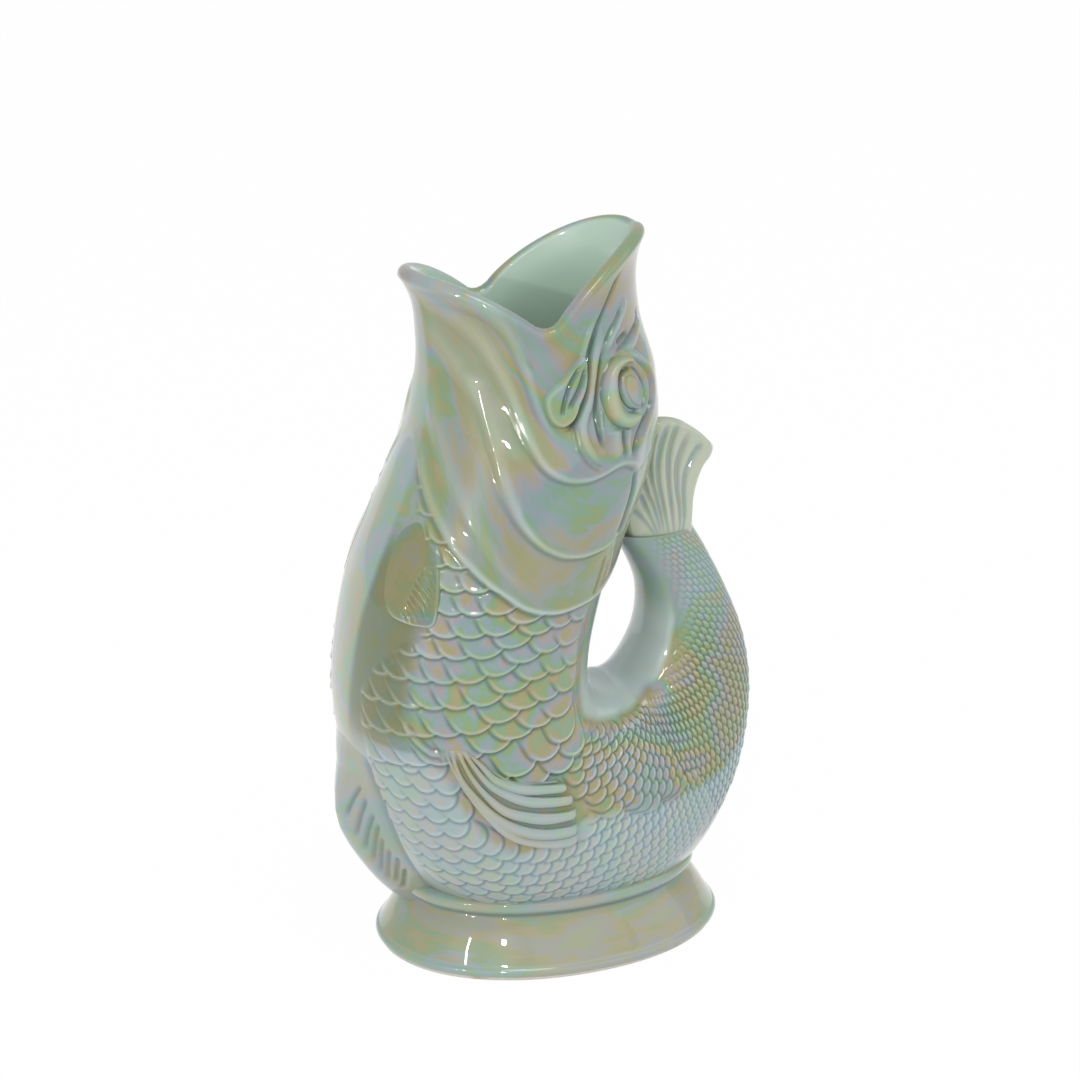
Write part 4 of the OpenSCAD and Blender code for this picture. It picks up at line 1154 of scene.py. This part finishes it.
# Materials
def linear(r, g, b):
    """A display colour from 0 to 255 as the linear values that shaders take."""
    values = []
    for c in (r, g, b):
        c /= 255
        values.append(c / 12.92 if c <= 0.04045 else ((c + 0.055) / 1.055) ** 2.4)
    return (*values, 1.0)


class Nodes:
    """Adds and links the shader nodes of a material or of the world."""

    def __init__(self, owner):
        owner.use_nodes = True
        self.tree = owner.node_tree
        self.tree.nodes.clear()

    def add(self, kind, **settings):
        node = self.tree.nodes.new(kind)
        for key, value in settings.items():
            setattr(node, key, value)
        return node

    def link(self, out, socket):
        self.tree.links.new(out, socket)

    def set(self, node, socket, value):
        if hasattr(value, "is_linked"):
            self.link(value, node.inputs[socket])
        else:
            node.inputs[socket].default_value = value

    def math(self, operation, a, b):
        node = self.add("ShaderNodeMath", operation=operation)
        self.set(node, 0, a)
        self.set(node, 1, b)
        return node.outputs[0]

    def mix(self, factor, a, b):
        node = self.add("ShaderNodeMix", data_type="RGBA")
        self.set(node, 0, factor)
        self.set(node, 6, a)
        self.set(node, 7, b)
        return node.outputs[2]

    def noise(self, vector, size, detail=2.0, distortion=0.0, roughness=0.5):
        node = self.add("ShaderNodeTexNoise")
        self.set(node, "Vector", vector)
        self.set(node, "Scale", size)
        self.set(node, "Detail", detail)
        self.set(node, "Roughness", roughness)
        self.set(node, "Distortion", distortion)
        return node.outputs["Fac"]

    def ramp(self, factor, stops, interpolation="LINEAR"):
        node = self.add("ShaderNodeValToRGB")
        node.color_ramp.interpolation = interpolation
        elements = node.color_ramp.elements
        while len(elements) < len(stops):
            elements.new(0.5)
        for element, (at, colour) in zip(elements, stops):
            element.position = at
            element.color = linear(*colour)
        self.link(factor, node.inputs[0])
        return node.outputs[0]

    def layer(self, name):
        return self.add("ShaderNodeAttribute", attribute_name=name).outputs["Fac"]

    def between(self, value, low, high):
        node = self.add("ShaderNodeMapRange", interpolation_type="SMOOTHSTEP")
        self.set(node, 0, value)
        self.set(node, 1, low)
        self.set(node, 2, high)
        return node.outputs[0]

    def shifted(self, vector, offset):
        node = self.add("ShaderNodeMapping")
        self.set(node, "Vector", vector)
        self.set(node, "Location", offset)
        return node.outputs[0]

    def surface(self, colour, roughness, relief, strength, depth):
        """Principled shader with a bump; it gives both nodes."""
        shader = self.add("ShaderNodeBsdfPrincipled")
        self.set(shader, "Base Color", colour)
        self.set(shader, "Roughness", roughness)
        bump = self.add("ShaderNodeBump")
        self.set(bump, "Strength", strength)
        self.set(bump, "Distance", depth)
        self.set(bump, "Height", relief)
        self.link(bump.outputs[0], shader.inputs["Normal"])
        self.link(shader.outputs[0], self.add("ShaderNodeOutputMaterial").inputs[0])
        return shader, bump

    def white_for(self, rays, share, plain, white_kind, out_kind):
        """Turns a share of a plain shader into pure white, but only for some kinds of rays."""
        path = self.add("ShaderNodeLightPath")
        seen = path.outputs[rays[0]]
        for ray in rays[1:]:
            seen = self.math("MAXIMUM", seen, path.outputs[ray])
        white = self.add(white_kind)
        self.set(white, 0, (1, 1, 1, 1))
        self.set(white, 1, 1.0)
        blend = self.add("ShaderNodeMixShader")
        self.link(self.math("MULTIPLY", seen, share), blend.inputs[0])
        self.link(plain.outputs[0], blend.inputs[1])
        self.link(white.outputs[0], blend.inputs[2])
        self.link(blend.outputs[0], self.add(out_kind).inputs[0])


# Colours of the glaze by phase: the order of an interference film's colours, greyed, then warmer,
# paler, and dark as it pools, which also serves as painted shade
FILM = [
    (0.24, (120, 158, 134)), (0.30, (126, 156, 160)), (0.345, (148, 148, 164)), (0.385, (164, 148, 120)),
    (0.42, (154, 148, 98)), (0.455, (130, 156, 106)), (0.49, (118, 158, 130)), (0.525, (130, 152, 164)),
    (0.56, (154, 147, 162)), (0.595, (164, 148, 118)), (0.63, (152, 148, 96)), (0.67, (122, 158, 114)),
    (0.72, (120, 158, 146)), (0.77, (148, 150, 164))]
WARM_FILM = [
    (0.28, (158, 156, 112)), (0.34, (156, 150, 134)), (0.385, (164, 151, 104)), (0.43, (146, 152, 102)),
    (0.47, (136, 154, 116)), (0.51, (152, 152, 150)), (0.55, (162, 151, 110)), (0.60, (148, 151, 100)),
    (0.65, (158, 152, 128)), (0.72, (152, 151, 106))]
PALE_FILM = [
    (0.28, (156, 178, 172)), (0.36, (160, 174, 178)), (0.42, (174, 176, 162)), (0.48, (156, 180, 164)),
    (0.54, (158, 176, 178)), (0.60, (174, 174, 170)), (0.67, (162, 180, 160)), (0.74, (156, 178, 174))]
DEEP_FILM = [(0.32, (66, 102, 94)), (0.42, (90, 100, 60)), (0.50, (62, 102, 88)), (0.58, (70, 98, 108)),
             (0.66, (92, 102, 62)), (0.74, (66, 102, 86))]
WARM_DEEP = [(0.40, (106, 104, 56)), (0.52, (86, 106, 70)), (0.64, (108, 104, 62))]


# Patches of the glaze, from large to fine: offset, size, detail, distortion and share in the phase
PATCHES = [((0.5, 0.3, 0.2), 66, 2.5, 0.8, 0.36), ((0.9, 0.1, 0.6), 190, 2.0, 0.4, 0.15),
           ((0.2, 0.7, 0.4), 480, 2.0, 0.2, 0.07)]


def pearl(material):
    n = Nodes(material)
    spot = n.add("ShaderNodeTexCoord").outputs["Object"]
    laid = n.add("ShaderNodeAttribute", attribute_name="glaze_at").outputs["Vector"]
    phase = n.noise(n.shifted(laid, (0.13, 0.02, 0.07)), 17, 2.0, 0.5)
    for offset, size, detail, distortion, strength in PATCHES:
        patches = n.noise(n.shifted(laid, offset), size, detail, distortion)
        phase = n.math("ADD", phase, n.math("MULTIPLY", n.math("SUBTRACT", patches, 0.5), strength))
    phase = n.math("ADD", phase, n.math("MULTIPLY", n.layer("core"), 0.05))
    warm_mask = n.layer("warm")
    pale_mask = n.layer("pale")
    film = n.mix(warm_mask, n.ramp(phase, FILM), n.ramp(phase, WARM_FILM))
    colour = n.mix(pale_mask, film, n.ramp(phase, PALE_FILM))
    deep = n.mix(warm_mask, n.ramp(phase, DEEP_FILM, "EASE"), n.ramp(phase, WARM_DEEP, "EASE"))
    deep = n.mix(pale_mask, deep, linear(104, 130, 146))
    # Painted shade: darkest at the bottom of the grooves
    deepest_shade = n.math("MULTIPLY", n.between(n.layer("pool_and_shade"), 0.88, 1.0), 0.6)
    deep = n.mix(deepest_shade, deep, linear(38, 56, 50))
    colour = n.mix(n.layer("pool_and_shade"), colour, deep)
    # Colours of the painted highlight layer
    highlight = n.mix(n.math("MULTIPLY", warm_mask, 0.8), linear(186, 206, 198), linear(210, 210, 178))
    highlight = n.mix(pale_mask, highlight, linear(196, 208, 206))
    colour = n.mix(n.math("MULTIPLY", n.layer("painted_highlight"), 0.6), colour, highlight)
    plain = n.mix(n.noise(spot, 30), linear(186, 210, 190), linear(196, 214, 198))
    colour = n.mix(n.layer("inside"), colour, plain)
    shader, bump = n.surface(colour, 0.34, n.noise(spot, 45, 2.0, 0.2), 0.16, 1.2 * MM)
    n.set(shader, "IOR", 1.45)
    n.set(shader, "Coat Weight", 1.0)
    n.set(shader, "Coat Roughness", 0.025)
    n.set(shader, "Coat IOR", 1.5)
    n.link(bump.outputs[0], shader.inputs["Coat Normal"])


def bare_clay(material):
    n = Nodes(material)
    spot = n.add("ShaderNodeTexCoord").outputs["Object"]
    grain = n.noise(spot, 900, 4.0, roughness=0.6)
    colour = n.mix(grain, linear(214, 208, 194), linear(230, 225, 213))
    colour = n.mix(n.between(n.noise(spot, 60, 3.0), 0.55, 0.75), colour, linear(196, 184, 164))
    n.surface(colour, 0.88, grain, 0.35, 0.3 * MM)


glaze = bpy.data.materials.new("pearl_glaze")
clay = bpy.data.materials.new("bare_clay")
pearl(glaze)
bare_clay(clay)
for obj in list(bpy.context.scene.objects):
    if obj.type != "MESH" or obj.get("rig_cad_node"):
        continue
    obj.data.materials.append(clay if obj == ring else glaze)

# Stage, light and camera
FLOOR_HALF = 12.0
FLOOR_WHITE = 0.98
FLOOR_GREY = (0.88, 0.88, 0.88, 1)
SKY = (0.93, 0.97, 1.0, 1)
SKY_STRENGTH = 0.66

# The camera and reflections see the pale floor as near white, and its shadow stays
pale_floor = bpy.data.materials.new("pale_floor")
n = Nodes(pale_floor)
matt = n.add("ShaderNodeBsdfDiffuse")
n.set(matt, 0, FLOOR_GREY)
n.white_for(("Is Camera Ray", "Is Glossy Ray", "Is Transmission Ray"), FLOOR_WHITE, matt,
            "ShaderNodeEmission", "ShaderNodeOutputMaterial")
floor_mesh = bpy.data.meshes.new("floor")
corners = [(x * FLOOR_HALF, y * FLOOR_HALF, 0) for x, y in ((-1, -1), (1, -1), (1, 1), (-1, 1))]
floor_mesh.from_pydata(corners, [], [[0, 1, 2, 3]])
floor_mesh.materials.append(pale_floor)
floor = bpy.data.objects.new("floor", floor_mesh)
bpy.context.scene.collection.objects.link(floor)

world = bpy.data.worlds.new("studio")
bpy.context.scene.world = world
n = Nodes(world)
sky = n.add("ShaderNodeBackground")
n.set(sky, 0, SKY)
n.set(sky, 1, SKY_STRENGTH)
n.white_for(("Is Camera Ray", "Is Transmission Ray"), 1.0, sky,
            "ShaderNodeBackground", "ShaderNodeOutputWorld")

LAMP_AIM = np.array([0, 0, 0.15])


def lamp(name, azimuth, elevation, distance, width, height_m, watts):
    """Area lamp aimed at the middle of the jug; azimuth 0 is in front (-Y), negative to the left."""
    data = bpy.data.lights.new(name, "AREA")
    data.shape = "RECTANGLE"
    data.size = width
    data.size_y = height_m
    data.energy = watts
    obj = bpy.data.objects.new(name, data)
    az = math.radians(azimuth)
    el = math.radians(elevation)
    way = np.array([math.sin(az) * math.cos(el), -math.cos(az) * math.cos(el), math.sin(el)])
    obj.location = LAMP_AIM + distance * way
    obj.rotation_euler = (math.acos(way[2]), 0, math.atan2(way[0], -way[1]))
    bpy.context.scene.collection.objects.link(obj)


# Name, azimuth and elevation in degrees, distance, width and height in metres, and watts
lamp("key", -58, 17, 1.6, 0.05, 0.05, 3.2)
lamp("left_strip", -54, 30, 1.7, 0.05, 0.22, 1.1)
lamp("sparkle", -26, 34, 1.7, 0.07, 0.07, 3.0)
lamp("front_box", 18, 34, 2.1, 1.6, 1.4, 3.4)
lamp("right_box", 64, 26, 1.9, 1.2, 1.4, 3.0)
lamp("top_box", 0, 70, 1.6, 0.5, 0.5, 3.6)

# The photo's camera: lens and sensor in millimetres, place in metres, tilt down and turn in degrees
CAMERA_LENS = 87.03
CAMERA_SENSOR = 36
CAMERA_PLACE = (-0.3521, -0.8716, 0.465)
CAMERA_TILT = 18.11
CAMERA_TURN = -21.83
camera_data = bpy.data.cameras.new("camera")
camera_data.lens = CAMERA_LENS
camera_data.sensor_width = CAMERA_SENSOR
camera = bpy.data.objects.new("camera", camera_data)
camera.location = CAMERA_PLACE
camera.rotation_euler = (math.radians(90 - CAMERA_TILT), 0, math.radians(CAMERA_TURN))
bpy.context.scene.collection.objects.link(camera)
bpy.context.scene.camera = camera
bpy.context.scene.view_settings.view_transform = "Standard"
